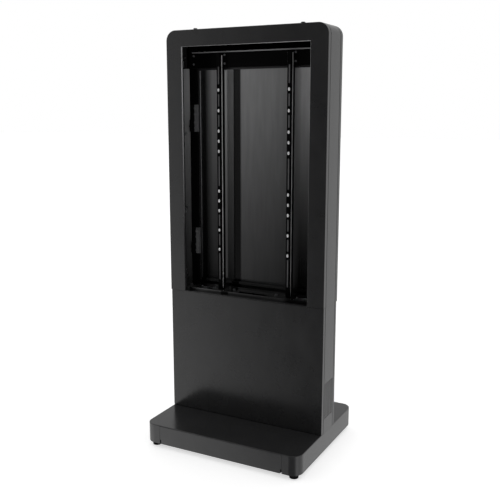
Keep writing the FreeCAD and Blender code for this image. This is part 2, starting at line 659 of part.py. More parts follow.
def top_beam():
    """Cross beam that carries the rails' upper ends, with a stiffening fold above and below."""
    low, high = BEAM_LOW, BEAM_HIGH
    beam = box((-366, 366), BEAM_Y, (low, high))
    beam = beam.fuse(box((-339, 339), (BEAM_Y[1], 61), (high - SHEET, high)))
    beam = beam.fuse(box((-339, 339), (BEAM_Y[1], 61), (low, low + SHEET)))
    beam = beam.removeSplitter()
    for s in (-1, 1):
        for z in BEAM_BOLT_Z:
            beam = beam.cut(rod(M6_CLEAR, (s * POST_MID_X, 40, z), (s * POST_MID_X, 60, z)))
            for dx in (-LUG_BOLT_X, LUG_BOLT_X):
                beam = beam.cut(rod(M6_CLEAR, (s * RAIL_X + dx, 40, z), (s * RAIL_X + dx, 60, z)))
    return beam


def mount_rail(s):
    """Upright channel with the display's bolt holes and slots, a top lug and a bottom foot."""
    x, w, low = s * RAIL_X, RAIL_HALF_W, SPLIT_Z + 3
    rail = box((x - w, x + w), (RAIL_FRONT, RAIL_BACK), (low, RAIL_TOP))
    rail = fillet_plane(rail, 2.5, lambda p: near(p.y, RAIL_FRONT) and near(abs(p.x - x), w))
    hollow = (x - w + RAIL_T, x + w - RAIL_T)
    rail = rail.cut(box(hollow, (RAIL_FRONT + RAIL_T, 60), (low + 3, RAIL_TOP + 1)))
    rail = rail.fuse(box((x - w - 16, x - w), (RAIL_BACK - RAIL_T, RAIL_BACK), (BEAM_LOW + 4, RAIL_TOP)))
    rail = rail.fuse(box((x + w, x + w + 16), (RAIL_BACK - RAIL_T, RAIL_BACK), (BEAM_LOW + 4, RAIL_TOP)))
    rail = rail.removeSplitter()
    y = (RAIL_FRONT - 2, RAIL_FRONT + RAIL_T + 2)
    cutters = []
    for step in MOUNT_STEPS:
        for z in (MOUNT_Z - step, MOUNT_Z + step):
            cutters.append(rod(MOUNT_HOLE_R, (x, y[0], z), (x, y[1], z)))
    for z, length in ((MOUNT_Z, 150), (MOUNT_Z + 250, 60), (MOUNT_Z + 350, 60), (MOUNT_Z + 470, 86),
                      (MOUNT_Z - 250, 60), (MOUNT_Z - 350, 60), (MOUNT_Z - 490, 140)):
        cutters.append(slot(x, y, z, length, 8.0, "z"))
    rail = rail.cut(Part.makeCompound(cutters))
    rail = rail.cut(rod(M6_CLEAR, (x, 30, low - 5), (x, 30, low + 10)))
    for dx in (-LUG_BOLT_X, LUG_BOLT_X):
        for z in BEAM_BOLT_Z:
            rail = rail.cut(rod(M6_CLEAR, (x + dx, 40, z), (x + dx, 50, z)))
    return rail


def rail_bolts():
    """Hex bolts through the rails' lugs and feet, and through the beam's ends."""
    bolts = []
    for s in (-1, 1):
        for z in BEAM_BOLT_Z:
            for x in (s * RAIL_X - LUG_BOLT_X, s * RAIL_X + LUG_BOLT_X):
                y = RAIL_BACK - RAIL_T
                head = hexagon(10.0, (x, y - 4, z), (x, y, z))
                bolts.append(head.fuse(rod(3.0, (x, y - 1, z), (x, 58, z))))
            head = hexagon(10.0, (s * POST_MID_X, BEAM_Y[0] - 4, z), (s * POST_MID_X, BEAM_Y[0], z))
            bolts.append(head.fuse(rod(3.0, (s * POST_MID_X, BEAM_Y[0] - 1, z), (s * POST_MID_X, 60, z))))
        x, z = s * RAIL_X, SPLIT_Z + 6
        head = hexagon(10.0, (x, 30, z), (x, 30, z + 4))
        bolts.append(head.fuse(rod(3.0, (x, 30, z - 12), (x, 30, z + 1))))
    return bolts


def hinge_backing_plates():
    """Plates on the left upright that spread the rear door's hinge load, with their bolt heads."""
    plates = []
    for z in HEAD_HINGE_Z:
        plate = box((-384, -336), (46, 50), (z - 68, z + 68))
        plate = plate.cut(box((-385, -372), (45, 51), (z - 8, z + 70)))
        plate = plate.fuse(box((-340, -336), (46, 61.5), (z - 68, z + 68)))
        heads = []
        for dz in (-50, -20, 20, 50):
            heads.append(hexagon(10.0, (-353, 42, z + dz), (-353, 46, z + dz)))
        heads.append(rod(7.0, (-378, 42, z - 40), (-378, 46, z - 40)))
        plates.append(union([plate] + heads))
    return plates


# ---------------------------------------------------------------- rear doors
def door_leaf(door, lock):
    """Folded door panel that fills a rear opening with an even gap."""
    half = door["half"] - DOOR_GAP
    low, high, face = door["low"] + DOOR_GAP, door["high"] - DOOR_GAP, door["face"]
    leaf = box((-half, half), (face - DOOR_RETURN, face), (low, high))
    leaf = fillet_plane(leaf, 1.2, lambda p: near(p.y, face))
    leaf = leaf.cut(box((-half + SHEET, half - SHEET), (0, face - SHEET), (low + SHEET, high - SHEET)))
    for z in lock["z"]:
        leaf = leaf.cut(rod(9.6, (lock["x"], 60, z), (lock["x"], 95, z)))
    return leaf


def lock_barrel(door, x, z):
    """Fixed body of a cam lock, with its collar outside."""
    face = door["face"]
    barrel = rod(9.5, (x, face - 36, z), (x, face + 1, z))
    collar = rod(12.0, (x, face, z), (x, face + 2.2, z))
    collar = fillet_plane(collar, 0.9, lambda p: near(p.y, face + 2.2))
    nut = hexagon(24.0, (x, face - 7, z), (x, face - SHEET, z))
    barrel = union([barrel, collar, nut])
    return barrel.cut(rod(6.0 + LOCK_FIT, (x, face - 50, z), (x, face + 10, z)))


def lock_cam(door, x, z):
    """Turning plug of a cam lock with its key slot, and the cam pointing up."""
    face = door["face"]
    plug = rod(6.0, (x, face - 43, z), (x, face + 1.4, z))
    plug = plug.cut(box((x - 0.6, x + 0.6), (face - 6, face + 3), (z - 3.5, z + 3.5)))
    cam = box((x - 7, x + 7), (face - 43, face - 40), (z - 7, z + 35))
    tip = rod(7.0, (x, face - 43, z + 35), (x, face - 40, z + 35))
    return union([plug, cam, tip])


def gasket(door):
    """Foam ring on a stop flange."""
    half, low, high, face = door["half"], door["low"], door["high"], door["face"]
    y = (face - STOP_DEPTH + SHEET, face - DOOR_RETURN - 0.5)
    ring = box((-half + 1.5, half - 1.5), y, (low + 1.5, high - 1.5))
    inner = STOP_W - 1.5
    return ring.cut(box((-half + inner, half - inner), (0, face), (low + inner, high - inner)))


def knuckles(count, height, z):
    """Heights of a hinge's knuckles, from the lowest up, with a small gap between them."""
    step = height / count
    low = z - height / 2
    return [(low + i * step + 0.2, low + (i + 1) * step - 0.2) for i in range(count)]


def rear_hinge(door, z, height):
    """Butt hinge outside a rear face: frame leaf, door leaf and pin."""
    ax, ay = -door["half"] + DOOR_GAP / 2, door["face"] + REAR_BARREL_R + 0.2
    y = (door["face"], door["face"] + SHEET)
    frame, leaf = [], []
    for i, (z0, z1) in enumerate(knuckles(5, height, z)):
        ring = rod(REAR_BARREL_R, (ax, ay, z0), (ax, ay, z1))
        own, other, s = (frame, leaf, -1) if i % 2 == 0 else (leaf, frame, 1)
        web = box((ax + s * 1.0, ax + s * 6), (ay - 2.2, ay - REAR_BARREL_R + SHEET), (z0, z1))
        own += [ring, web, box((ax + s * 4.5, ax + s * 26), y, (z0 - 0.2, z1 + 0.2))]
        other.append(box((ax - s * 5.0, ax - s * 26), y, (z0 - 0.2, z1 + 0.2)))
    bore = rod(REAR_PIN_R + LOCK_FIT, (ax, ay, z - height), (ax, ay, z + height))
    holes = [rod(2.4, (ax + s * 17, 0, z + dz), (ax + s * 17, 120, z + dz))
             for s in (-1, 1) for dz in (-height * 0.36, 0, height * 0.36)]
    frame = union(frame).cut(bore).cut(Part.makeCompound(holes))
    leaf = union(leaf).cut(bore).cut(Part.makeCompound(holes))
    pin = rod(REAR_PIN_R, (ax, ay, z - height / 2), (ax, ay, z + height / 2))
    caps = [rod(3.4, (ax, ay, z - height / 2 - 1.5), (ax, ay, z - height / 2 - 0.1)),
            rod(3.4, (ax, ay, z + height / 2 + 0.1), (ax, ay, z + height / 2 + 1.5))]
    core = rod(REAR_PIN_R, (ax, ay, z - height / 2 - 1), (ax, ay, z + height / 2 + 1))
    return frame, leaf, union([pin, core] + caps)


# ---------------------------------------------------------------- front door
def front_door_frame():
    """Bezel: an arched pan with the display opening, open to the back."""
    low, high, r = SPLIT_Z + DOOR_GAP_Z, HEAD_TOP, HEAD_CORNER_R
    inner = HEAD_HALF_W - SHEET
    pan = arch(HEAD_HALF_W, low, high, r, -FACE, -PAN_EDGE)
    pan = fillet_plane(pan, 1.5, lambda p: near(p.y, -FACE))
    pan = pan.cut(arch(inner, low + SHEET, high - SHEET, r - SHEET, -FACE + SHEET, 0))
    half, top = OPENING_HALF_W, OPENING_TOP
    lip = box((-half - SHEET, half + SHEET), (-FACE + 1, -FACE + LIP_DEPTH), (low + 1, top + SHEET))
    pan = pan.fuse(lip).cut(box((-half, half), (-FACE - 1, 0), (low + SHEET, top)))
    pan = pan.removeSplitter()
    inside = lambda p: abs(p.x) < half + 1 and low + 4 < p.z < top + 1
    pan = fillet_plane(pan, 1.0, lambda p: near(p.y, -FACE) and inside(p))
    for z in FRONT_HINGE_Z:
        z_span = (z - FRONT_HINGE_H / 2 - 2, z + FRONT_HINGE_H / 2 + 2)
        pan = pan.cut(box((-430, -424.5), (-67.6, -60), z_span))
    return pan


def front_hinge(z):
    """Concealed hinge in the door's left edge: cabinet leaf, door leaf and pin."""
    ax, ay = FRONT_AXIS
    plate = (-FLANGE_Y - 1.5, -FLANGE_Y)
    fixed, moving = [], []
    for i, (z0, z1) in enumerate(knuckles(5, FRONT_HINGE_H, z)):
        ring = rod(FRONT_BARREL_R, (ax, ay, z0), (ax, ay, z1))
        fixed.append(box((-424, -400), plate, (z0 - 0.2, z1 + 0.2)))
        back = ay if i % 2 else ay - FRONT_BARREL_R - 0.8
        moving.append(box((-425, -423.8), (-86, back), (z0 - 0.2, z1 + 0.2)))
        if i % 2:
            moving.append(ring)
        else:
            fixed += [ring, box((ax - 1, ax + 1), (ay + 1.8, plate[1]), (z0, z1))]
    bore = rod(FRONT_PIN_R + LOCK_FIT, (ax, ay, z - 80), (ax, ay, z + 80))
    pin = rod(FRONT_PIN_R, (ax, ay, z - FRONT_HINGE_H / 2 - 1), (ax, ay, z + FRONT_HINGE_H / 2 + 1))
    return union(fixed).cut(bore), union(moving).cut(bore), pin


def front_latch(z):
    """Turn latch of the front door, worked from inside the cabinet. Its nose points up."""
    spindle = rod(LATCH_R, (LATCH_X, -73, z), (LATCH_X, -42, z))
    nose = box((LATCH_X - 6, LATCH_X + 6), (-73, -70), (z - 6, z + 14))
    tip = rod(6.0, (LATCH_X, -73, z + 14), (LATCH_X, -70, z + 14))
    collar = rod(9.0, (LATCH_X, -53.6, z), (LATCH_X, -49, z))
    washer = rod(8.0, (LATCH_X, -60, z), (LATCH_X, -56.4, z))
    wing = box((LATCH_X - 4, LATCH_X + 4), (-49, -42), (z - 20, z + 20))
    wing = wing.fuse(rod(9.0, (LATCH_X, -49, z), (LATCH_X, -42, z)))
    return union([spindle, nose, tip, collar, washer, wing])


def latch_keepers():
    keepers = []
    for z in LATCH_Z:
        leg = box((423.2, 425), (-86, -64), (z - 20, z + 20))
        keepers.append(leg.fuse(box((410.5, 424), (-68.5, -66.5), (z - 20, z + 20))).removeSplitter())
    return keepers


def panel_clamps():
    """Clips behind the bezel that hold the touch glass once it is fitted."""
    clamps = []
    half, y0 = OPENING_HALF_W + SHEET, -FACE + SHEET
    for s in (-1, 1):
        for z in (860.0, 1180.0, 1560.0, 1900.0):
            foot_plate = box((s * (half + 8), s * (half + 30)), (y0, y0 + 2), (z - 15, z + 15))
            riser = box((s * (half + 8), s * (half + 10)), (y0, -59.5), (z - 15, z + 15))
            nose = box((s * (half + 1), s * (half + 10)), (-61.5, -59.5), (z - 15, z + 15))
            stud = rod(4.0, (s * (half + 20), y0 + 1, z), (s * (half + 20), y0 + 7, z))
            clamps.append(union([foot_plate, riser, nose, stud]))
    for x in (-200.0, 0.0, 200.0):
        top = OPENING_TOP + SHEET
        foot_plate = box((x - 15, x + 15), (y0, y0 + 2), (top + 8, top + 30))
        riser = box((x - 15, x + 15), (y0, -59.5), (top + 8, top + 10))
        nose = box((x - 15, x + 15), (-61.5, -59.5), (top + 1, top + 10))
        stud = rod(4.0, (x, y0 + 1, top + 20), (x, y0 + 7, top + 20))
        clamps.append(union([foot_plate, riser, nose, stud]))
    return clamps


# ---------------------------------------------------------------- write every node
def write_base():
    write("base_plate", base_plate())
    write("base_spine", base_spine())
    write("base_ribs", *base_ribs())
    write("base_cover", base_cover())
    write("base_front_cover", base_front_cover())
    write("base_cover_screws", *base_cover_screws())
    for name, sx, sy in (("front_left", -1, -1), ("front_right", 1, -1),
                         ("rear_left", -1, 1), ("rear_right", 1, 1)):
        write("foot_" + name, foot(sx * FOOT_X, sy * FOOT_Y))


def write_column():
    write("column_side_left", column_side(-1))
    write("column_side_right", column_side(1))
    write("column_bottom_plate", column_bottom_plate())
    write("column_top_plate", column_top_plate())
    write("column_front_cover", column_front_cover())
    write("column_rear_frame", column_rear_frame())
    write("column_bolts", *column_bolts())
    write("equipment_shelf", equipment_shelf())
    write("socket_strip", socket_strip())
    spacers, screws = cover_fixings()
    write("cover_spacers", *spacers)
    write("cover_screws", *screws)
    write("fan_housings", fan_housing(-1), fan_housing(1))
    write("fan_rotor_left", fan_rotor(-1))
    write("fan_rotor_right", fan_rotor(1))
    write("fan_guards", fan_guard(-1), fan_guard(1))
    write("fan_screws", *fan_screws())
    write("power_inlet", power_inlet())
    write("power_inlet_pins", *inlet_pins())
    write("power_switch", power_switch())


def write_head():
    write("head_shell", head_shell())
    write("head_bottom_plate", head_bottom_plate())
    write("head_bolts", *head_bolts())
    write("lifting_bolts", *lifting_bolts())
    write("head_post_left", head_post(-1))
    write("head_post_right", head_post(1))
    write("top_beam", top_beam())
    write("mount_rail_left", mount_rail(-1))
    write("mount_rail_right", mount_rail(1))
    write("rail_bolts", *rail_bolts())
    write("hinge_backing_plates", *hinge_backing_plates())
    write("head_rear_frame", head_rear_frame())
    write("door_gaskets", gasket(HEAD_DOOR), gasket(SERVICE_DOOR))


def write_rear_doors():
    head = [rear_hinge(HEAD_DOOR, z, REAR_HINGE_H) for z in HEAD_HINGE_Z]
    service = [rear_hinge(SERVICE_DOOR, z, SERVICE_HINGE_H) for z in SERVICE_HINGE_Z]
    write("rear_hinge_frame_leaves", *[h[0] for h in head + service])
    write("rear_door_hinge_leaves", *[h[1] for h in head])
    write("service_door_hinge_leaves", *[h[1] for h in service])
    write("rear_door_panel", door_leaf(HEAD_DOOR, HEAD_LOCK))
    write("service_door_panel", door_leaf(SERVICE_DOOR, SERVICE_LOCK))
    write("rear_lock_barrels", *[lock_barrel(HEAD_DOOR, HEAD_LOCK["x"], z) for z in HEAD_LOCK["z"]])
    write("rear_lock_cam_upper", lock_cam(HEAD_DOOR, HEAD_LOCK["x"], HEAD_LOCK["z"][0]))
    write("rear_lock_cam_lower", lock_cam(HEAD_DOOR, HEAD_LOCK["x"], HEAD_LOCK["z"][1]))
    write("service_lock_barrel", lock_barrel(SERVICE_DOOR, SERVICE_LOCK["x"], SERVICE_LOCK["z"][0]))
    write("service_lock_cam", lock_cam(SERVICE_DOOR, SERVICE_LOCK["x"], SERVICE_LOCK["z"][0]))
    return [h[2] for h in head + service]


def write_front_door(rear_pins):
    hinges = [front_hinge(z) for z in FRONT_HINGE_Z]
    write("front_door_frame", front_door_frame())
    write("front_hinge_cabinet_leaves", *[h[0] for h in hinges])
    write("front_hinge_door_leaves", *[h[1] for h in hinges])
    write("hinge_pins", *rear_pins, *[h[2] for h in hinges])
    write("front_latch_upper", front_latch(LATCH_Z[0]))
    write("front_latch_lower", front_latch(LATCH_Z[1]))
    write("front_latch_keepers", *latch_keepers())
    write("panel_clamps", *panel_clamps())


write_base()
write_column()
write_head()
write_front_door(write_rear_doors())
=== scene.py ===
import math
import random

import bmesh
import bpy
from mathutils import Euler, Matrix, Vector


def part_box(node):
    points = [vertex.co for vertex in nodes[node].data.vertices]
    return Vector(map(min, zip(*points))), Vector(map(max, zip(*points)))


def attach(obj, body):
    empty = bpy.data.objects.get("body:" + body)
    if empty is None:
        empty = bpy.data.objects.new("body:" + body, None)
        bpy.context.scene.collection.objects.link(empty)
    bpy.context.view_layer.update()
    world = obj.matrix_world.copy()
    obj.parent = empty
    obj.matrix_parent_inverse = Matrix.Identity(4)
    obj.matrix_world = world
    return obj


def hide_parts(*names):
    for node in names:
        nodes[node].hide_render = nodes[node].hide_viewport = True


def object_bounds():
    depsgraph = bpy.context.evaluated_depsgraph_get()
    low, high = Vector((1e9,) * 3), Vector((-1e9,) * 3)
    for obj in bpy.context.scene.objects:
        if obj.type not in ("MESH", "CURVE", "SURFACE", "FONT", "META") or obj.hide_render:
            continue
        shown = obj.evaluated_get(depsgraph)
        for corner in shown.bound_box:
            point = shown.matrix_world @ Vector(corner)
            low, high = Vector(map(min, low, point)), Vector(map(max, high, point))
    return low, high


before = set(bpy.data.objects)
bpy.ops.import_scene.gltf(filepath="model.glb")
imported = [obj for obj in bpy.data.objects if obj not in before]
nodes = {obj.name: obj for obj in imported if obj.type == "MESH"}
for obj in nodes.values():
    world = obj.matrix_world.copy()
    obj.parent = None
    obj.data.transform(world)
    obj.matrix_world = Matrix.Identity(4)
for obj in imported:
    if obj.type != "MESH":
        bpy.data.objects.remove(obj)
CAD_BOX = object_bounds()
MM = 0.001
rng = random.Random(7)

# ---------------------------------------------------------------- node trees
class Tree:
    """One procedural material: a principled surface and the nodes that drive it."""

    def __init__(self, name, **surface):
        self.mat = bpy.data.materials.new(name)
        self.mat.use_nodes = True
        self.nt = self.mat.node_tree
        self.nt.nodes.clear()
        self.out = self.nt.nodes.new("ShaderNodeOutputMaterial")
        self.surface = self.nt.nodes.new("ShaderNodeBsdfPrincipled")
        self.nt.links.new(self.surface.outputs[0], self.out.inputs["Surface"])
        self.coord = self.nt.nodes.new("ShaderNodeTexCoord").outputs["Object"]
        for key, value in surface.items():
            self.surface.inputs[key.replace("_", " ")].default_value = value

    def add(self, kind, inputs=(), **props):
        """A node with its properties set; inputs maps a socket to a constant or to another output."""
        node = self.nt.nodes.new("ShaderNode" + kind)
        for key, value in props.items():
            setattr(node, key, value)
        for key, value in dict(inputs).items():
            if isinstance(value, bpy.types.NodeSocket):
                self.nt.links.new(value, node.inputs[key])
            else:
                node.inputs[key].default_value = value
        return node

    def noise(self, scale, detail=2.0, rough=0.5, stretch=None, distortion=0.0):
        vector = self.coord
        if stretch:
            vector = self.add("Mapping", {"Vector": vector, "Scale": stretch}).outputs[0]
        made = self.add("TexNoise", {"Vector": vector, "Scale": scale, "Detail": detail,
                                     "Roughness": rough, "Distortion": distortion})
        return made.outputs["Fac"]

    def cells(self, scale, feature="F1"):
        made = self.add("TexVoronoi", {"Vector": self.coord, "Scale": scale}, feature=feature)
        return made.outputs["Distance"]

    def ramp(self, fac, low, high, to_low=0.0, to_high=1.0):
        """A value remapped from one range to another, clamped."""
        made = self.add("MapRange", {"Value": fac, "From Min": low, "From Max": high,
                                     "To Min": to_low, "To Max": to_high}, clamp=True)
        return made.outputs["Result"]

    def math(self, operation, a, b=0.0):
        return self.add("Math", {0: a, 1: b}, operation=operation).outputs[0]

    def mix(self, fac, a, b):
        made = self.add("Mix", {0: fac}, data_type="RGBA")
        for index, value in ((6, a), (7, b)):
            if isinstance(value, bpy.types.NodeSocket):
                self.nt.links.new(value, made.inputs[index])
            else:
                made.inputs[index].default_value = (*value, 1.0)
        return made.outputs[2]

    def blend(self, fac, a, b):
        """Between two plain values."""
        return self.add("Mix", {0: fac, 2: a, 3: b}, data_type="FLOAT").outputs[0]

    def edge(self, radius):
        """1 along sharp convex edges and 0 on flats."""
        bevel = self.add("Bevel", {"Radius": radius}, samples=4)
        flat = self.add("NewGeometry").outputs["Normal"]
        dot = self.add("VectorMath", {0: bevel.outputs[0], 1: flat}, operation="DOT_PRODUCT")
        return self.ramp(dot.outputs["Value"], 0.985, 0.80)

    def bump(self, *layers):
        """Heights as (value, strength, distance), one over the other."""
        normal = None
        for height, strength, distance in layers:
            inputs = {"Height": height, "Strength": strength, "Distance": distance}
            if normal is not None:
                inputs["Normal"] = normal
            normal = self.add("Bump", inputs).outputs[0]
        self.nt.links.new(normal, self.surface.inputs["Normal"])

    def set(self, socket, value):
        self.nt.links.new(value, self.surface.inputs[socket])


def powder_coat(name, colour, rough, peel=0.07, worn=0.35, level=0.5):
    """Black powder-coated steel: orange peel, fine fleck, faint haze and lighter rubbed edges."""
    t = Tree(name, IOR=1.5, Specular_IOR_Level=level)
    fleck = t.ramp(t.noise(2600, 1.0), 0.62, 0.80)
    haze = t.noise(7.0, 4.0, 0.6)
    tint = t.mix(t.ramp(haze, 0.3, 0.7), [c * 0.88 for c in colour], [c * 1.15 for c in colour])
    tint = t.mix(t.math("MULTIPLY", fleck, 0.35), tint, [c * 2.4 for c in colour])
    rubbed = t.math("MULTIPLY", t.edge(0.0012), t.ramp(t.noise(60, 3.0), 0.42, 0.66, 0.25, 1.0))
    tint = t.mix(t.math("MULTIPLY", rubbed, worn), tint, (0.16, 0.16, 0.165))
    t.set("Base Color", tint)
    smear = t.noise(16.0, 3.0, 0.55, stretch=(1.0, 1.0, 0.35))
    t.set("Roughness", t.ramp(smear, 0.25, 0.75, rough - 0.03, rough + 0.035))
    t.bump((t.noise(420, 2.0, 0.45), peel, 0.0006), (t.noise(2400, 1.0), peel * 0.6, 0.00012))
    return t.mat


# Where the painted light and shade on the mirroring faces change: places along X, or along Z for the climbs
SHADE_HALF_W = 0.4
# painted light: the inside faces lighter towards the top, between these heights
PAINTED_LIGHT_CLIMB = (0.80, 1.90)
# painted light: lighter towards the left
PAINTED_LIGHT_LEFT = (-0.14, -0.26)
# painted highlight beside the right rail towards the top, with painted shade there lower down
PAINTED_HIGHLIGHT_RIGHT = (0.195, 0.225)
PAINTED_HIGHLIGHT_CLIMB = (0.85, 1.75)
# painted shade in a strip by the left post, full tone again beyond it
PAINTED_SHADE_LEFT = (-0.312, -0.272)
PAINTED_SHADE_OUTER = (0.33, 0.34)
# painted reflection of the left rail: a dark stripe, and how much it darkens
PAINTED_REFLECTION_START = (-0.153, -0.144)
PAINTED_REFLECTION_END = (-0.102, -0.111)
PAINTED_REFLECTION_SHARE = 0.93


def panel_paint_with_painted_light(name, node, rough, face_y, sheet=2 * MM, gain=1.0, below=0.0):
    """Black powder coat outside; the face towards the inside is a smooth dark steel.

    Its tone is painted light and shade by place, and a dark stripe is a painted reflection of a rail.

    The outer face of the node's own side walls stays plain paint. below adds the faces under that
    height to the mirroring ones.
    """
    colour = BLACK
    t = Tree(name, IOR=1.5)
    x, y, z = t.add("SeparateXYZ", {0: t.coord}).outputs
    wide = t.math("ABSOLUTE", x)
    front = t.math("LESS_THAN", y, face_y - sheet * 0.55)
    under = t.math("LESS_THAN", z, INSIDE_TOP)
    inside = t.math("GREATER_THAN", y, face_y - sheet * 1.2)
    middle = t.math("LESS_THAN", wide, SHADE_HALF_W)
    low = t.math("MULTIPLY", t.math("LESS_THAN", z, below), middle)
    inside = t.math("MAXIMUM", inside, low)
    inside = t.math("MULTIPLY", t.math("MULTIPLY", inside, front), under)
    inside = t.math("MULTIPLY", inside, t.math("LESS_THAN", wide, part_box(node)[1][0] - sheet * 0.5))
    # painted shade: the inner faces above the cross beam, within the middle width, get a near-black colour
    # and full metallic so that they show almost nothing
    above = t.math("SUBTRACT", t.math("LESS_THAN", z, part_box(node)[1][2] - sheet * 0.5), under)
    shade = t.math("MULTIPLY", t.math("MULTIPLY", front, t.math("MAXIMUM", above, 0.0)), middle)
    haze = t.noise(5.0, 4.0, 0.6)
    tint = t.mix(t.ramp(haze, 0.3, 0.7), [c * 0.85 for c in colour], [c * 1.2 for c in colour])
    fleck = t.ramp(t.noise(2600, 1.0), 0.62, 0.80)
    tint = t.mix(t.math("MULTIPLY", fleck, 0.35), tint, [c * 2.4 for c in colour])
    tint = t.mix(t.math("MULTIPLY", t.edge(0.0012), 0.3), tint, (0.16, 0.16, 0.165))
    tint = t.mix(shade, tint, DEEP)
    # painted light: the inside faces lighter towards the top
    painted_light_rise = t.ramp(z, *PAINTED_LIGHT_CLIMB)
    painted_light_tone = t.mix(t.math("POWER", painted_light_rise, 1.8), INSIDE_PAINTED_SHADE, [c * gain for c in INSIDE_PAINTED_LIGHT])
    level = t.ramp(t.noise(9.0, 3.0, 0.55, stretch=(6.0, 1.0, 0.6)), 0.3, 0.7, 0.93, 1.07)
    # painted light: lighter towards the left
    level = t.math("MULTIPLY", level, t.ramp(x, *PAINTED_LIGHT_LEFT, 1.0, 1.55))
    # painted highlight beside the right rail towards the top, painted shade there lower down
    right = t.ramp(x, *PAINTED_HIGHLIGHT_RIGHT)
    level = t.math("MULTIPLY", level, t.blend(right, 1.0, t.ramp(z, *PAINTED_HIGHLIGHT_CLIMB, 0.15, 2.2)))
    # painted shade in a strip by the left post
    side = t.ramp(wide, *PAINTED_SHADE_OUTER, 0.06, 1.0)
    level = t.math("MULTIPLY", level, t.blend(t.ramp(x, *PAINTED_SHADE_LEFT), side, 1.0))
    # painted reflection: a dark stripe that stands in for the left rail's mirror image
    painted_reflection_band = t.math("MULTIPLY", t.ramp(x, *PAINTED_REFLECTION_START), t.ramp(x, *PAINTED_REFLECTION_END))
    level = t.math("MULTIPLY", level, t.math("SUBTRACT", 1.0, t.math("MULTIPLY", painted_reflection_band, PAINTED_REFLECTION_SHARE)))
    grey = t.add("CombineXYZ", {0: level, 1: level, 2: level}).outputs[0]
    painted_light_tone = t.add("VectorMath", {0: painted_light_tone, 1: grey}, operation="MULTIPLY").outputs[0]
    t.set("Base Color", t.mix(inside, tint, painted_light_tone))
    t.set("Metallic", t.math("MAXIMUM", t.math("MULTIPLY", inside, 0.62 / gain), shade))
    smear = t.ramp(t.noise(12.0, 3.0, 0.55), 0.25, 0.75, -0.02, 0.025)
    t.set("Roughness", t.math("ADD", t.blend(inside, rough, INSIDE_ROUGH), smear))
    t.bump((t.noise(420, 2.0, 0.45), 0.07, 0.0005), (t.noise(2400, 1.0), 0.05, 0.0001))
    return t.mat


def plated(name, colour, rough, grain=0.12, worn=0.5, metal=1.0, painted_shade=None):
    """Plated or bare metal: fine crystals, a faint colour drift and brighter edges.

    The last argument is (axis, from, to, share) for painted shade: the colour falls to share of itself below
    the first place and rises to full at the second.
    """
    t = Tree(name, Metallic=metal)
    drift = t.noise(90.0, 3.0, 0.6)
    dark = [c * 0.78 for c in colour]
    tint = t.mix(t.ramp(drift, 0.3, 0.7), dark, colour)
    tint = t.mix(t.math("MULTIPLY", t.edge(0.0005), worn), tint, [min(1.0, c * 1.35 + 0.05) for c in colour])
    # painted shade along one axis
    if painted_shade:
        axis, start, end, share = painted_shade
        along = t.add("SeparateXYZ", {0: t.coord}).outputs[axis]
        tint = t.mix(t.ramp(along, start, end), [c * share for c in colour], tint)
    t.set("Base Color", tint)
    t.set("Roughness", t.ramp(t.noise(700, 2.0), 0.3, 0.7, rough - 0.06, rough + 0.08))
    t.bump((t.cells(1500), grain, 0.0001), (t.noise(300, 2.0), grain * 0.6, 0.0002))
    return t.mat


def moulded(name, colour, rough, texture=0.25):
    """Moulded plastic with a fine spark texture."""
    t = Tree(name, IOR=1.47)
    drift = t.noise(25.0, 3.0)
    tint = t.mix(t.ramp(drift, 0.3, 0.7), [c * 0.85 for c in colour], [c * 1.15 for c in colour])
    tint = t.mix(t.math("MULTIPLY", t.edge(0.0006), 0.35), tint, [c * 3.0 + 0.02 for c in colour])
    t.set("Base Color", tint)
    t.set("Roughness", t.ramp(t.noise(120.0, 2.0), 0.3, 0.7, rough - 0.05, rough + 0.06))
    t.bump((t.cells(1800), texture, 0.00015), (t.noise(3200, 1.0), texture * 0.6, 0.0001))
    return t.mat


def rubber(name, colour, rough):
    """Rubber with a dry bloom and a little dust near the floor."""
    t = Tree(name, IOR=1.12)
    bloom = t.ramp(t.noise(45.0, 4.0, 0.65), 0.35, 0.75)
    tint = t.mix(bloom, colour, [c * 1.9 for c in colour])
    height = t.add("SeparateXYZ", {0: t.coord}).outputs["Z"]
    dust = t.math("MULTIPLY", t.ramp(height, 0.012, 0.0), t.ramp(t.noise(220.0, 3.0), 0.4, 0.7))
    tint = t.mix(t.math("MULTIPLY", dust, 0.12), tint, (0.08, 0.077, 0.073))
    t.set("Base Color", tint)
    t.set("Roughness", t.ramp(bloom, 0.0, 1.0, rough - 0.08, rough + 0.06))
    t.bump((t.noise(900, 3.0), 0.3, 0.0002), (t.cells(2200), 0.2, 0.0001))
    return t.mat


def foam(name, colour):
    """Closed-cell foam strip: small pits, each darker in its middle than at the cell walls."""
    t = Tree(name, IOR=1.4, Roughness=0.93)
    wall = t.ramp(t.cells(900.0, "DISTANCE_TO_EDGE"), 0.0, 0.12)
    tint = t.mix(wall, [c * 2.2 for c in colour], colour)
    tint = t.mix(t.ramp(t.noise(30.0, 3.0), 0.35, 0.7, 0.0, 0.4), tint, [c * 1.6 for c in colour])
    t.set("Base Color", tint)
    t.bump((t.cells(900.0), 0.7, 0.0004), (t.noise(180.0, 2.0), 0.3, 0.0005))
    return t.mat


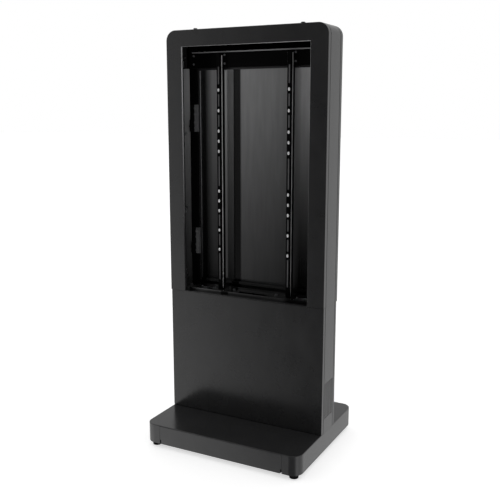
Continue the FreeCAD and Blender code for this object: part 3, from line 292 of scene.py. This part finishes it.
BLACK = (0.0150, 0.0150, 0.0155)
DEEP = (0.0018, 0.0018, 0.0019)
INSIDE_PAINTED_SHADE, INSIDE_PAINTED_LIGHT, INSIDE_ROUGH = (0.072, 0.072, 0.073), (0.44, 0.44, 0.445), 0.09
INSIDE_TOP = 1.885
MATERIALS = {
    "outer": powder_coat("satin_black_powder_coat", BLACK, 0.22),
    "base": powder_coat("base_black_powder_coat", [c * 1.45 for c in BLACK], 0.22),
    "inner": powder_coat("inner_black_powder_coat", DEEP, 0.33, peel=0.08, worn=0.2, level=0.03),
    "rear_pan": panel_paint_with_painted_light("rear_pan_paint_and_painted_light", "head_rear_frame", 0.22, 0.088, gain=1.0, below=0.812),
    "shell": panel_paint_with_painted_light("shell_paint_and_painted_light", "head_shell", 0.22, 0.056, gain=1.3),
    "floor_pan": panel_paint_with_painted_light("floor_pan_paint_and_painted_light", "head_bottom_plate", 0.22, 0.086, gain=1.0, below=0.80),
    "rear_door": panel_paint_with_painted_light("rear_door_paint_and_painted_light", "rear_door_panel", 0.22, 0.088),
    "service_door": panel_paint_with_painted_light("service_door_paint_and_painted_light", "service_door_panel", 0.22, 0.081),
    "zinc": plated("bright_zinc", (0.62, 0.63, 0.65), 0.30),
    "bright": plated("clear_passivated_zinc", (0.90, 0.90, 0.91), 0.45, metal=0.25),
    "satin": plated("satin_aluminium_strip", (0.80, 0.80, 0.81), 0.42, grain=0.05, metal=0.2),
    "beam_strip": plated("beam_edge_strip", (0.24, 0.24, 0.245), 0.5, grain=0.08, metal=0.4),
    "tray": plated("vent_tray_zinc", (0.22, 0.22, 0.225), 0.45, grain=0.10, metal=0.15),
    # painted shade on these strips: darker lower down on the side and flange strips, on the left edge of the
    # hinge plates, and towards the left on the top strip
    "side_strip": plated("side_edge_strip", (0.62, 0.62, 0.63), 0.42, grain=0.05, metal=0.2,
                         painted_shade=("Z", 1.05, 1.75, 0.05)),
    "flange_strip": plated("flange_edge_strip", (0.34, 0.34, 0.35), 0.5, grain=0.08, metal=0.4,
                           painted_shade=("Z", 0.9, 1.75, 0.10)),
    "hinge_plate": plated("hinge_plate_steel", (0.20, 0.20, 0.205), 0.45, grain=0.10, metal=0.5,
                          painted_shade=("X", -0.3555, -0.3535, 0.02)),
    "top_strip": plated("top_edge_strip", (0.62, 0.62, 0.63), 0.42, grain=0.05, metal=0.2,
                        painted_shade=("X", -0.36, 0.25, 0.25)),
    "graphite": plated("graphite_zinc_strip", (0.13, 0.13, 0.135), 0.5, grain=0.08, metal=0.3),
    "black_steel": plated("black_oxide_steel", (0.075, 0.075, 0.08), 0.34, worn=0.7),
    "chrome": plated("lock_chrome_plate", (0.78, 0.79, 0.80), 0.14, grain=0.03, worn=0.2),
    "plastic": moulded("black_moulded_plastic", (0.018, 0.018, 0.019), 0.42),
    "rubber": rubber("black_rubber_moulding", (0.005, 0.005, 0.005), 0.7),
    "foam": foam("black_closed_cell_foam", (0.02, 0.02, 0.021)),
    "brass": plated("pin_brass_plate", (0.78, 0.60, 0.32), 0.24),
}

# CAD node: material, edge rounding in mm
KEPT = {
    "base_plate": ("inner", 0.5), "base_spine": ("inner", 0.5), "base_ribs": ("inner", 0.4),
    "base_cover": ("base", 0.35), "base_front_cover": ("base", 0.35), "base_cover_screws": ("zinc", 0.25),
    "column_side_left": ("outer", 0.35), "column_side_right": ("outer", 0.35),
    "column_bottom_plate": ("inner", 0.4), "column_top_plate": ("inner", 0.4),
    "column_front_cover": ("outer", 0.35), "column_rear_frame": ("outer", 0.35),
    "equipment_shelf": ("inner", 0.3), "socket_strip": ("plastic", 0.5), "cover_spacers": ("plastic", 0.3),
    "cover_screws": ("zinc", 0.2), "fan_housings": ("plastic", 0.4), "fan_rotor_left": ("plastic", 0.2),
    "fan_rotor_right": ("plastic", 0.2), "fan_guards": ("zinc", 0.3), "fan_screws": ("zinc", 0.2),
    "power_inlet": ("plastic", 0.25), "power_inlet_pins": ("brass", 0.3), "power_switch": ("plastic", 0.3),
    "head_shell": ("shell", 0.35), "head_bottom_plate": ("floor_pan", 0.35),
    "head_post_left": ("inner", 0.5), "head_post_right": ("inner", 0.5),
    "top_beam": ("inner", 0.35), "mount_rail_left": ("inner", 0.35), "mount_rail_right": ("inner", 0.35),
    "hinge_backing_plates": ("hinge_plate", 0.35), "head_rear_frame": ("rear_pan", 0.35),
    "rear_hinge_frame_leaves": ("black_steel", 0.2),
    "rear_door_hinge_leaves": ("black_steel", 0.2), "service_door_hinge_leaves": ("black_steel", 0.2),
    "rear_door_panel": ("rear_door", 0.35), "service_door_panel": ("service_door", 0.35),
    "rear_lock_barrels": ("chrome", 0.2), "rear_lock_cam_upper": ("chrome", 0.2),
    "rear_lock_cam_lower": ("chrome", 0.2), "service_lock_barrel": ("chrome", 0.2),
    "service_lock_cam": ("chrome", 0.2), "front_door_frame": ("outer", 0.35),
    "front_hinge_cabinet_leaves": ("zinc", 0.15), "front_hinge_door_leaves": ("zinc", 0.15),
    "hinge_pins": ("zinc", 0.15),
    "front_latch_upper": ("chrome", 0.25), "front_latch_lower": ("chrome", 0.25),
    "front_latch_keepers": ("zinc", 0.2), "panel_clamps": ("zinc", 0.25),
}


def finish_node(name, material, rounding):
    """Gives a CAD node its material and small round edges that catch the light."""
    o = nodes[name]
    for slot in o.material_slots:
        slot.link = "OBJECT"
        slot.material = MATERIALS[material]
    weld = o.modifiers.new("weld", "WELD")
    weld.merge_threshold = 1e-6
    bevel = o.modifiers.new("edges", "BEVEL")
    bevel.limit_method = "ANGLE"
    bevel.angle_limit = math.radians(35)
    bevel.width = rounding * MM
    bevel.segments = 2
    bevel.use_clamp_overlap = False
    bevel.miter_outer = "MITER_ARC"
    normal = o.modifiers.new("normals", "WEIGHTED_NORMAL")
    normal.keep_sharp = True


for node_name, (material, rounding) in KEPT.items():
    finish_node(node_name, material, rounding)


# ---------------------------------------------------------------- mesh code
def islands(name):
    """Boxes of the separate solids in a CAD node, as (lowest, highest) corners, sorted."""
    bm = bmesh.new()
    bm.from_mesh(nodes[name].data)
    bmesh.ops.remove_doubles(bm, verts=bm.verts, dist=1e-6)
    seen, found = set(), []
    for start in bm.verts:
        if start in seen:
            continue
        seen.add(start)
        stack, group = [start], []
        while stack:
            vert = stack.pop()
            group.append(vert.co.copy())
            for edge in vert.link_edges:
                other = edge.other_vert(vert)
                if other not in seen:
                    seen.add(other)
                    stack.append(other)
        low = Vector([min(p[i] for p in group) for i in range(3)])
        high = Vector([max(p[i] for p in group) for i in range(3)])
        found.append((low, high))
    bm.free()
    return sorted(found, key=lambda pair: tuple(round(v, 4) for v in pair[0]))


def hexagon(across):
    """Radius of a hexagon of this width across flats, by angle."""
    sector = math.pi / 3
    return lambda a: across / 2 / math.cos((a % sector) - sector / 2)


def oval(wide, tall):
    """Radius of an upright oval on a face that looks to the front, by angle; half sizes in mm."""
    axis = Vector((0, -1, 0))
    u = axis.orthogonal().normalized()
    up = math.atan2(axis.cross(u).z, u.z)
    return lambda t: MM * tall * wide / math.hypot(wide * math.cos(t - up), tall * math.sin(t - up))


def least(shape, limit):
    """The smaller of a shape's radius and a limit, by angle."""
    return lambda a: min(shape(a), limit)


def loft(bm, at, axis, rings, segments=36, turn=0.0):
    """A closed turned form: rings of (height, radius); a radius may be a function of the angle."""
    axis = Vector(axis).normalized()
    u = axis.orthogonal().normalized()
    v = axis.cross(u)
    loops = []
    for height, radius in rings:
        loop = []
        for i in range(segments):
            angle = 2 * math.pi * i / segments
            r = radius(angle) if callable(radius) else radius
            offset = u * math.cos(angle + turn) + v * math.sin(angle + turn)
            loop.append(bm.verts.new(Vector(at) + axis * height + offset * r))
        loops.append(loop)
    for below, above in zip(loops, loops[1:]):
        for i in range(segments):
            j = (i + 1) % segments
            bm.faces.new((below[i], below[j], above[j], above[i]))
    bm.faces.new(list(reversed(loops[0])))
    bm.faces.new(loops[-1])


def sweep(bm, path, sides, profile, closed=False):
    """A profile of (across, depth) along a path; sides gives each point's two directions."""
    loops = []
    for point, (across, depth) in zip(path, sides):
        loops.append([bm.verts.new(Vector(point) + across * a + depth * d) for a, d in profile])
    count = len(profile)
    pairs = list(zip(loops, loops[1:])) + ([(loops[-1], loops[0])] if closed else [])
    for here, there in pairs:
        for i in range(count):
            j = (i + 1) % count
            bm.faces.new((here[i], here[j], there[j], there[i]))
    if not closed:
        bm.faces.new(list(reversed(loops[0])))
        bm.faces.new(loops[-1])


def piece(name, body, material, bm, replaces=(), smooth_under=40):
    """Turns mesh code into an object that rides on a body."""
    bmesh.ops.recalc_face_normals(bm, faces=bm.faces)
    mesh = bpy.data.meshes.new(name)
    bm.to_mesh(mesh)
    bm.free()
    for face in mesh.polygons:
        face.use_smooth = True
    mesh.set_sharp_from_angle(angle=math.radians(smooth_under))
    mesh.materials.append(MATERIALS[material])
    o = bpy.data.objects.new(name, mesh)
    bpy.context.scene.collection.objects.link(o)
    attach(o, body)
    if replaces:
        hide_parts(*replaces)
    return o


def thread(bottom, top, radius, pitch=1.5 * MM, depth=0.55 * MM):
    """Rings of a screw thread between two heights."""
    rings, height = [], bottom
    while height + pitch < top:
        rings += [(height, radius - depth), (height + pitch * 0.45, radius), (height + pitch * 0.6, radius)]
        height += pitch
    return rings + [(top - 0.3 * MM, radius - depth)]


# ---------------------------------------------------------------- fasteners
def hex_head(bm, at, axis, across, height, turn):
    """Chamfered hexagon head with a bearing face and a slightly dished crown."""
    flats, corner = hexagon(across), across / 2 / math.cos(math.pi / 6)
    loft(bm, at, axis, [(0.0, across * 0.47), (0.05 * height, across * 0.47),
                        (0.06 * height, least(flats, corner * 0.98)), (0.68 * height, flats),
                        (0.84 * height, least(flats, corner * 0.965)),
                        (0.95 * height, least(flats, corner * 0.9)),
                        (height, across * 0.435), (0.97 * height, across * 0.33)], turn=turn)


def washer(bm, at, axis, radius, thickness):
    edge = 0.3 * MM
    loft(bm, at, axis, [(0.0, radius - edge), (edge, radius), (thickness - edge, radius),
                        (thickness, radius - edge)])


def bolts(name, node, material, across, head, wide=0.0, thick=0.0, shank=0.0, nut=None, ends=None):
    """Hexagon bolts in the places of a node's solids.

    ends gives the axis, the place of the bearing face along it, and the place of the far end.
    """
    bm = bmesh.new()
    for low, high in islands(node):
        mid = (low + high) / 2
        axis, seat, far = ends(low, high)
        k = 2 if abs(axis.z) > 0.5 else 1
        place = mid.copy()
        place[k] = seat
        turn = rng.uniform(0, math.pi / 3)
        if wide:
            washer(bm, place, axis, wide, thick)
        hex_head(bm, place + axis * thick, axis, across, head, turn)
        screw = thread(0.2 * MM, abs(seat - far), shank, 1.25 * MM, 0.45 * MM)
        loft(bm, place, -axis, [(-thick * 0.5, shank * 0.9)] + screw, segments=20)
        if nut is not None:
            hex_head(bm, place - axis * nut, -axis, across, across * 0.5, rng.uniform(0, math.pi / 3))
    return piece(name, "cabinet", material, bm, replaces=(node,))


def add_bolts():
    up, front = Vector((0, 0, 1)), Vector((0, -1, 0))
    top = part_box("head_shell")[1].z
    bolts("lifting_hex_bolts", "lifting_bolts", "black_steel", 18 * MM, 7.2 * MM,
          11 * MM, 2.0 * MM, 6 * MM, nut=2.2 * MM, ends=lambda lo, hi: (up, top, lo.z))
    bolts("head_hex_bolts", "head_bolts", "graphite", 13 * MM, 5.2 * MM,
          8 * MM, 1.6 * MM, 4 * MM, ends=lambda lo, hi: (up, hi.z - 7 * MM, lo.z))
    bolts("column_hex_bolts", "column_bolts", "zinc", 17 * MM, 6.2 * MM,
          10 * MM, 1.8 * MM, 5 * MM, ends=lambda lo, hi: (up, hi.z - 8 * MM, lo.z))

    def rail_ends(lo, hi):
        if hi.z - lo.z > 12 * MM:
            return up, hi.z - 4 * MM, lo.z
        return front, lo.y + 4 * MM, hi.y

    bolts("rail_hex_bolts", "rail_bolts", "graphite", 10 * MM, 4.0 * MM, shank=3 * MM,
          ends=rail_ends)


def add_hinge_screws():
    """Countersunk screws with a hexagon recess in the rear hinges' leaves, three to a leaf."""
    for node, body, side in (("rear_hinge_frame_leaves", "cabinet", -1),
                             ("rear_door_hinge_leaves", "rear_door", 1),
                             ("service_door_hinge_leaves", "service_door", 1)):
        bm = bmesh.new()
        for low, high in islands(node):
            height = high.z - low.z
            axis_x = high.x - 4 * MM if side < 0 else low.x + 4 * MM
            for dz in (-0.36, 0.0, 0.36):
                at = Vector((axis_x + side * 17 * MM, low.y + 0.1 * MM, (low.z + high.z) / 2 + dz * height))
                recess = hexagon(2.5 * MM)
                loft(bm, at, (0, 1, 0), [(0.0, 2.2 * MM), (1.7 * MM, 2.35 * MM), (1.95 * MM, 4.3 * MM),
                                         (2.35 * MM, 4.4 * MM), (2.9 * MM, 3.6 * MM), (3.1 * MM, 2.2 * MM),
                                         (3.12 * MM, recess), (1.6 * MM, recess), (1.3 * MM, 0.3 * MM)],
                     turn=rng.uniform(0, 1))
        piece(node.replace("leaves", "screws"), body, "zinc", bm)


MOUNT_MIDDLE = 1.376
MOUNT_HALF_STEPS = (100, 150, 200, 300, 400)
RAILS = ("mount_rail_left", "mount_rail_right")


def add_rivet_nuts():
    """Bright threaded inserts in the round holes of the two display rails."""
    for node, name in zip(RAILS, ("rail_inserts_left", "rail_inserts_right")):
        low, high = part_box(node)
        bm = bmesh.new()
        for step in MOUNT_HALF_STEPS:
            for z in (MOUNT_MIDDLE - step * MM, MOUNT_MIDDLE + step * MM):
                at = Vector(((low.x + high.x) / 2, low.y + 2.3 * MM, z))
                loft(bm, at, (0, -1, 0), [(-9 * MM, 4.3 * MM), (2.2 * MM, 4.3 * MM),
                                          (2.3 * MM, oval(5.0, 8.0)), (2.8 * MM, oval(5.0, 8.0)),
                                          (3.1 * MM, oval(4.5, 7.4)),
                                          (3.1 * MM, 2.6 * MM), (2.4 * MM, 2.3 * MM), (-2 * MM, 2.3 * MM),
                                          (-2.1 * MM, 0.2 * MM)], segments=32)
        piece(name, "cabinet", "bright", bm)


# ---------------------------------------------------------------- feet
def add_feet():
    """Levelling feet: a ribbed rubber pad in a pressed cup, a lock nut and a threaded stud."""
    for node, body in (("foot_front_left", "foot_fl"), ("foot_front_right", "foot_fr"),
                       ("foot_rear_left", "foot_rl"), ("foot_rear_right", "foot_rr")):
        low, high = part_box(node)
        at = Vector(((low.x + high.x) / 2, (low.y + high.y) / 2, low.z))
        r = (high.x - low.x) / 2

        def ribbed(radius, depth):
            return lambda a: radius - depth * (0.5 + 0.5 * math.cos(36 * a))

        bm = bmesh.new()
        rings = [(0.0, r - 2.2 * MM), (0.4 * MM, r - 1.2 * MM), (1.6 * MM, r - 0.15 * MM),
                 (3.0 * MM, r - 0.15 * MM)]
        rings += [(3.4 * MM, ribbed(r - 0.1 * MM, 0.9 * MM)), (11.5 * MM, ribbed(r - 0.1 * MM, 0.9 * MM))]
        rings += [(12.0 * MM, r - 0.2 * MM), (15.4 * MM, r - 0.4 * MM), (16.6 * MM, r - 1.4 * MM),
                  (17.0 * MM, r - 3.0 * MM), (17.0 * MM, 6.5 * MM)]
        loft(bm, at, (0, 0, 1), rings, segments=144)
        piece(node + "_pad", body, "rubber", bm, replaces=(node,))
        bm = bmesh.new()
        loft(bm, at, (0, 0, 1), [(16.8 * MM, r - 3.4 * MM), (17.8 * MM, r - 3.6 * MM),
                                 (18.6 * MM, r - 5.0 * MM), (20.6 * MM, 12.4 * MM),
                                 (21.9 * MM, 11.0 * MM), (22.0 * MM, 7.0 * MM)], segments=48)
        hex_head(bm, at + Vector((0, 0, 22 * MM)), (0, 0, 1), 17 * MM, 4.5 * MM, 0.3)
        tall = high.z - low.z
        screw = thread(24 * MM, tall - 1 * MM, 6 * MM, 1.75 * MM)
        loft(bm, at, (0, 0, 1), [(20 * MM, 5.4 * MM)] + screw + [(tall, 4.6 * MM)], segments=32)
        piece(node + "_stud", body, "zinc", bm)


# ---------------------------------------------------------------- seals and trims
def ring_path(x0, x1, z0, z1, y, radius, steps=6):
    """A rounded rectangle in an upright plane, with outward and rearward directions at each point."""
    path, sides = [], []
    corners = ((x1 - radius, z1 - radius, 0), (x0 + radius, z1 - radius, 90), (x0 + radius, z0 + radius, 180),
               (x1 - radius, z0 + radius, 270))
    for cx, cz, start in corners:
        for i in range(steps + 1):
            angle = math.radians(start + 90 * i / steps)
            out = Vector((math.cos(angle), 0, math.sin(angle)))
            path.append(Vector((cx, y, cz)) + out * radius)
            sides.append((out, Vector((0, 1, 0))))
    return path, sides


def add_gaskets():
    """Closed-cell foam strips with a crowned face, laid round the two rear openings."""
    names = ("head_door_gasket", "service_door_gasket")
    boxes = sorted(islands("door_gaskets"), key=lambda pair: -pair[0].z)
    for name, (low, high) in zip(names, boxes):
        width, depth = 8.6 * MM, high.y - low.y
        path, sides = ring_path(low.x + width / 2, high.x - width / 2, low.z + width / 2, high.z - width / 2,
                                low.y, 6 * MM)
        # longer straight runs get points, so that the strip can wander a little
        full_path, full_sides = [], []
        for i, (point, side) in enumerate(zip(path, sides)):
            full_path.append(point)
            full_sides.append(side)
            after = path[(i + 1) % len(path)]
            run = (after - point).length
            if run > 60 * MM:
                count = int(run / (20 * MM))
                for k in range(1, count):
                    full_path.append(point.lerp(after, k / count))
                    full_sides.append(side)
        wave = [0.12 * MM * math.sin(0.9 * i) + rng.uniform(-0.05, 0.05) * MM for i in range(len(full_path))]
        full_path = [p + s[0] * w for p, s, w in zip(full_path, full_sides, wave)]
        profile = [(width * 0.47, 0.0)]
        for k in range(9):
            angle = math.pi * k / 8
            profile.append((width * 0.5 * math.cos(angle), depth * (0.32 + 0.66 * math.sin(angle))))
        profile.append((-width * 0.47, 0.0))
        bm = bmesh.new()
        sweep(bm, full_path, full_sides, profile, closed=True)
        strip = piece(name, "cabinet", "foam", bm, replaces=("door_gaskets",))


def straight(bm, start, end, across, depth, profile):
    """A profile along one straight run, in short lengths."""
    start, end = Vector(start), Vector(end)
    count = max(2, int((end - start).length / (40 * MM)))
    path = [start.lerp(end, i / count) for i in range(count + 1)]
    sweep(bm, path, [(Vector(across), Vector(depth))] * (count + 1), profile)


def edge_profile(width, thick):
    """A flat strip with rounded long edges: (across the width, out from the surface)."""
    r = thick * 0.9
    return [(0.0, 0.0), (0.0, thick - r), (r * 0.3, thick - r * 0.3), (r, thick), (width - r, thick),
            (width - r * 0.3, thick - r * 0.3), (width, thick - r), (width, 0.0)]


OPENING_HALF_W = 0.342
OPENING_TOP = 1.982
CHANNEL_Z = (0.800, 1.880)
STOP_FLANGE_X = 0.326
STOP_FLANGE_Z = (0.806, 1.874)


def add_trims():
    """Strips on the display opening, rails, cross beam and rear stop flange, and the rails' channels."""
    bottom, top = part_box("mount_rail_left")[0].z, OPENING_TOP
    x, y0, depth = OPENING_HALF_W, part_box("front_door_frame")[0].y + 0.6 * MM, 9.0 * MM
    bm = bmesh.new()
    profile = edge_profile(depth, 0.7 * MM)
    rear, up = (0, 1, 0), (0, 0, 1)
    straight(bm, (-x, y0, bottom), (-x, y0, top), rear, (1, 0, 0), profile)
    straight(bm, (x, y0, bottom), (x, y0, top), rear, (-1, 0, 0), profile)
    piece("opening_side_trim", "front_door", "side_strip", bm)
    bm = bmesh.new()
    straight(bm, (-x, y0, top), (x, y0, top), rear, (0, 0, -1), profile)
    piece("opening_top_trim", "front_door", "top_strip", bm)

    bm = bmesh.new()
    for node in RAILS:
        low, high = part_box(node)
        middle, half = (low.x + high.x) / 2, 10.5 * MM
        for s in (-1, 1):
            x = middle + s * half
            straight(bm, (x, low.y + 14 * MM, low.z + 6 * MM), (x, low.y + 14 * MM, high.z - 6 * MM), rear,
                     (s, 0, 0), edge_profile(6.5 * MM, 0.9 * MM))
    piece("rail_edge_strips", "cabinet", "satin", bm)

    bm = bmesh.new()
    for node in RAILS:
        low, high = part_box(node)
        x = (low.x + high.x) / 2 - 7.4 * MM
        straight(bm, (x, low.y + 4.6 * MM, low.z + 8 * MM), (x, low.y + 4.6 * MM, high.z - 4 * MM),
                 (1, 0, 0), (0, -1, 0), edge_profile(14.8 * MM, 1.6 * MM))
    piece("rail_backing_strips", "cabinet", "graphite", bm)

    bm = bmesh.new()
    for node in RAILS:
        low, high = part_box(node)
        x, (foot, head) = (low.x + high.x) / 2, CHANNEL_Z
        channel = [(-10 * MM, 0.2 * MM), (-10 * MM, 11 * MM), (-9.4 * MM, 12 * MM), (9.4 * MM, 12 * MM),
                   (10 * MM, 11 * MM), (10 * MM, 0.2 * MM), (8.6 * MM, 0.2 * MM), (8.6 * MM, 10.4 * MM),
                   (-8.6 * MM, 10.4 * MM), (-8.6 * MM, 0.2 * MM)]
        straight(bm, (x, high.y, foot), (x, high.y, head), (1, 0, 0), rear, channel)
    piece("rail_rear_channels", "cabinet", "inner", bm)

    low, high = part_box("top_beam")
    bm = bmesh.new()
    straight(bm, (low.x + 2 * MM, low.y, high.z - 6 * MM), (high.x - 2 * MM, low.y, high.z - 6 * MM),
             up, (0, -1, 0), edge_profile(6 * MM, 0.8 * MM))
    piece("beam_edge_strip", "cabinet", "beam_strip", bm)

    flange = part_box("head_rear_frame")[0].y
    x, (z0, z1) = STOP_FLANGE_X, STOP_FLANGE_Z
    profile = [(0.0, -0.7 * MM), (2.6 * MM, -0.7 * MM), (2.9 * MM, -0.3 * MM), (2.9 * MM, 0.0), (0.0, 0.0),
               (0.0, 2.0 * MM), (-0.6 * MM, 2.4 * MM), (-1.2 * MM, 2.0 * MM), (-1.4 * MM, 0.6 * MM),
               (-1.1 * MM, -0.5 * MM)]
    bm = bmesh.new()
    for s in (-1, 1):
        straight(bm, (s * x, flange, z0), (s * x, flange, z1), (s, 0, 0), (0, 1, 0), profile)
    piece("stop_flange_edge_trim", "cabinet", "flange_strip", bm)


# ---------------------------------------------------------------- dust screens
def wire_net(bm, origin, along, up, out, width, height, pitch, radius):
    """Woven wires over a rectangle; each wire waves over and under the ones it crosses."""
    along, up, out = Vector(along), Vector(up), Vector(out)
    for run, rise, length, span, phase in ((along, up, width, height, 0), (up, along, height, width, 1)):
        count = int(span / pitch)
        steps = int(length / pitch) * 2
        for i in range(count + 1):
            base = Vector(origin) + rise * (i * pitch)
            ring = []
            for k in range(steps + 1):
                wave = radius * math.sin(math.pi * (k / 2 + i + phase))
                centre = base + run * (k * pitch / 2) + out * wave
                ring.append([bm.verts.new(centre + (rise * math.cos(a) + out * math.sin(a)) * radius)
                             for a in (0.0, 2.094, 4.189)])
            for a, b in zip(ring, ring[1:]):
                for j in range(3):
                    bm.faces.new((a[j], a[(j + 1) % 3], b[(j + 1) % 3], b[j]))
            bm.faces.new(ring[0])
            bm.faces.new(list(reversed(ring[-1])))


TRAY_HALF_Y = 0.057
TRAY_Z = (0.186, 0.386)
TRAY_DEPTH = 17 * MM


def add_vent_trays():
    """Shallow folded trays behind the side vents, which keep dust and fingers off the electrics."""
    half, (z0, z1), deep = TRAY_HALF_Y, TRAY_Z, TRAY_DEPTH
    for node, s in (("column_side_left", -1), ("column_side_right", 1)):
        low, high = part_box(node)
        skin = (high.x - 2.2 * MM) if s > 0 else (low.x + 2.2 * MM)
        bm = bmesh.new()
        rings = []
        for depth, grow in ((0.2 * MM, 6 * MM), (0.2 * MM, 0.6 * MM), (0.8 * MM, 0.0),
                            (deep - 2 * MM, -1.0 * MM), (deep, -3.0 * MM), (deep, -24 * MM),
                            (deep - 2.5 * MM, -28 * MM)):
            y, a, b = half + grow, z0 - grow, z1 + grow
            corner = 3 * MM
            ring = []
            for cy, cz, turn in ((-y, a, math.pi), (y, a, 1.5 * math.pi), (y, b, 0.0),
                                 (-y, b, 0.5 * math.pi)):
                my, mz = cy - math.copysign(corner, cy), cz + (corner if cz == a else -corner)
                for k in range(4):
                    angle = turn + k * math.pi / 6
                    ring.append(bm.verts.new((skin - s * depth, my + corner * math.cos(angle),
                                              mz + corner * math.sin(angle))))
            rings.append(ring)
        for p, q in zip(rings, rings[1:]):
            for i in range(16):
                j = (i + 1) % 16
                bm.faces.new((p[i], p[j], q[j], q[i]))
        bm.faces.new(rings[-1])
        name = node.replace("column_side", "vent_tray")
        tray = piece(name, "cabinet", "tray", bm, smooth_under=30)
        solid = tray.modifiers.new("sheet", "SOLIDIFY")
        solid.thickness = 0.8 * MM
        solid.offset = 0.0


SCREEN_HALF_W = 0.300
SCREEN_LOW = 2.0025
SCREEN_HEIGHT = 0.037


def add_exhaust_screen():
    """A woven screen behind the exhaust slots at the top of the rear pan."""
    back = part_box("head_rear_frame")[1].y - 3.0 * MM
    bm = bmesh.new()
    wire_net(bm, (-SCREEN_HALF_W, back, SCREEN_LOW), (1, 0, 0), (0, 0, 1), (0, 1, 0),
             2 * SCREEN_HALF_W, SCREEN_HEIGHT, 2.6 * MM, 0.28 * MM)
    piece("exhaust_screen", "cabinet", "black_steel", bm, smooth_under=180)


add_bolts()
add_hinge_screws()
add_rivet_nuts()
add_feet()
add_gaskets()
add_trims()
add_vent_trays()
add_exhaust_screen()


# ---------------------------------------------------------------- stage, light and camera
def add_floor():
    mesh = bpy.data.meshes.new("floor")
    size, low = 40.0, CAD_BOX[0].z
    mesh.from_pydata([(-size, -size, low), (size, -size, low), (size, size, low), (-size, size, low)], [],
                     [(0, 1, 2, 3)])
    floor = bpy.data.objects.new("floor", mesh)
    bpy.context.scene.collection.objects.link(floor)
    t = Tree("pale_floor", Roughness=0.8)
    grain = t.noise(60.0, 4.0)
    t.set("Base Color", t.mix(t.ramp(grain, 0.3, 0.7), (0.80, 0.80, 0.80), (0.84, 0.84, 0.84)))
    t.surface.inputs["Emission Color"].default_value = (1.0, 1.0, 1.0, 1.0)
    t.surface.inputs["Emission Strength"].default_value = 0.62
    mesh.materials.append(t.mat)
    floor.visible_glossy = False


DARK_SIDE = (24.5, 42.0)       # degrees from its middle to where it starts and ends to fade


def world_light():
    """White all round for the eye; for light, a white studio with one dark side in front."""
    world = bpy.data.worlds.new("studio")
    bpy.context.scene.world = world
    world.use_nodes = True
    nt = world.node_tree
    nt.nodes.clear()

    def add(kind, inputs=(), **props):
        node = nt.nodes.new("ShaderNode" + kind)
        for key, value in props.items():
            setattr(node, key, value)
        for key, value in dict(inputs).items():
            if isinstance(value, bpy.types.NodeSocket):
                nt.links.new(value, node.inputs[key])
            else:
                node.inputs[key].default_value = value
        return node

    def remap(value, from_min, from_max, to_min, to_max, **props):
        return add("MapRange", {"Value": value, "From Min": from_min, "From Max": from_max, "To Min": to_min,
                                "To Max": to_max}, **props).outputs[0]

    way = add("TexCoord").outputs["Generated"]
    parts = add("SeparateXYZ", {0: way}).outputs
    left = add("Math", {0: parts["X"], 1: 0.0}, operation="MINIMUM").outputs[0]
    right = add("Math", {0: parts["X"], 1: 0.0}, operation="MAXIMUM").outputs[0]
    across = add("Math", {0: right, 1: 0.3, 2: left}, operation="MULTIPLY_ADD").outputs[0]
    height = add("Math", {0: parts["Z"], 1: 0.65}, operation="MULTIPLY").outputs[0]
    squat = add("CombineXYZ", {0: across, 1: parts["Y"], 2: height}).outputs[0]
    squat = add("VectorMath", {0: squat}, operation="NORMALIZE").outputs[0]
    front = Vector((0.0, -1.0, -0.035)).normalized()
    dot = add("VectorMath", {0: squat, 1: front}, operation="DOT_PRODUCT").outputs["Value"]
    angle = add("Math", {0: dot}, operation="ARCCOSINE").outputs[0]
    start, end = (math.radians(v) for v in DARK_SIDE)
    fade = remap(angle, start, end, 0.01, 0.95, interpolation_type="SMOOTHSTEP")
    low = remap(parts["Z"], 0.08, -0.40, 0.20, 1.55)
    ahead = remap(parts["Y"], 0.0, -0.83, 0.1, 1.0)
    lift = add("Math", {0: low, 1: ahead, 2: 1.0}, operation="MULTIPLY_ADD").outputs[0]
    high = remap(parts["Z"], 0.08, 0.35, 1.0, 0.84)
    strength = add("Math", {0: fade, 1: lift}, operation="MULTIPLY").outputs[0]
    strength = add("Math", {0: strength, 1: high}, operation="MULTIPLY").outputs[0]
    light = add("Background", {"Strength": strength})
    seen = add("Background", {"Color": (1, 1, 1, 1), "Strength": 1.0})
    path = add("LightPath").outputs["Is Camera Ray"]
    both = add("MixShader", {0: path, 1: light.outputs[0], 2: seen.outputs[0]})
    add("OutputWorld", {"Surface": both.outputs[0]})


CAMERA_AT = (1.6698, -3.2006, 1.6750)
CAMERA_DOWN = 10.73            # degrees below level
CAMERA_TURN = 27.68            # degrees from straight ahead
CAMERA_LENS = 52.85


def add_camera():
    data = bpy.data.cameras.new("camera")
    data.sensor_width = 36.0
    data.lens = CAMERA_LENS
    data.clip_end = 200.0
    camera = bpy.data.objects.new("camera", data)
    camera.location = CAMERA_AT
    camera.rotation_euler = Euler((math.radians(90 - CAMERA_DOWN), 0.0, math.radians(CAMERA_TURN)))
    bpy.context.scene.collection.objects.link(camera)
    bpy.context.scene.camera = camera


add_floor()
world_light()
add_camera()
scene = bpy.context.scene
scene.view_settings.view_transform = "Standard"
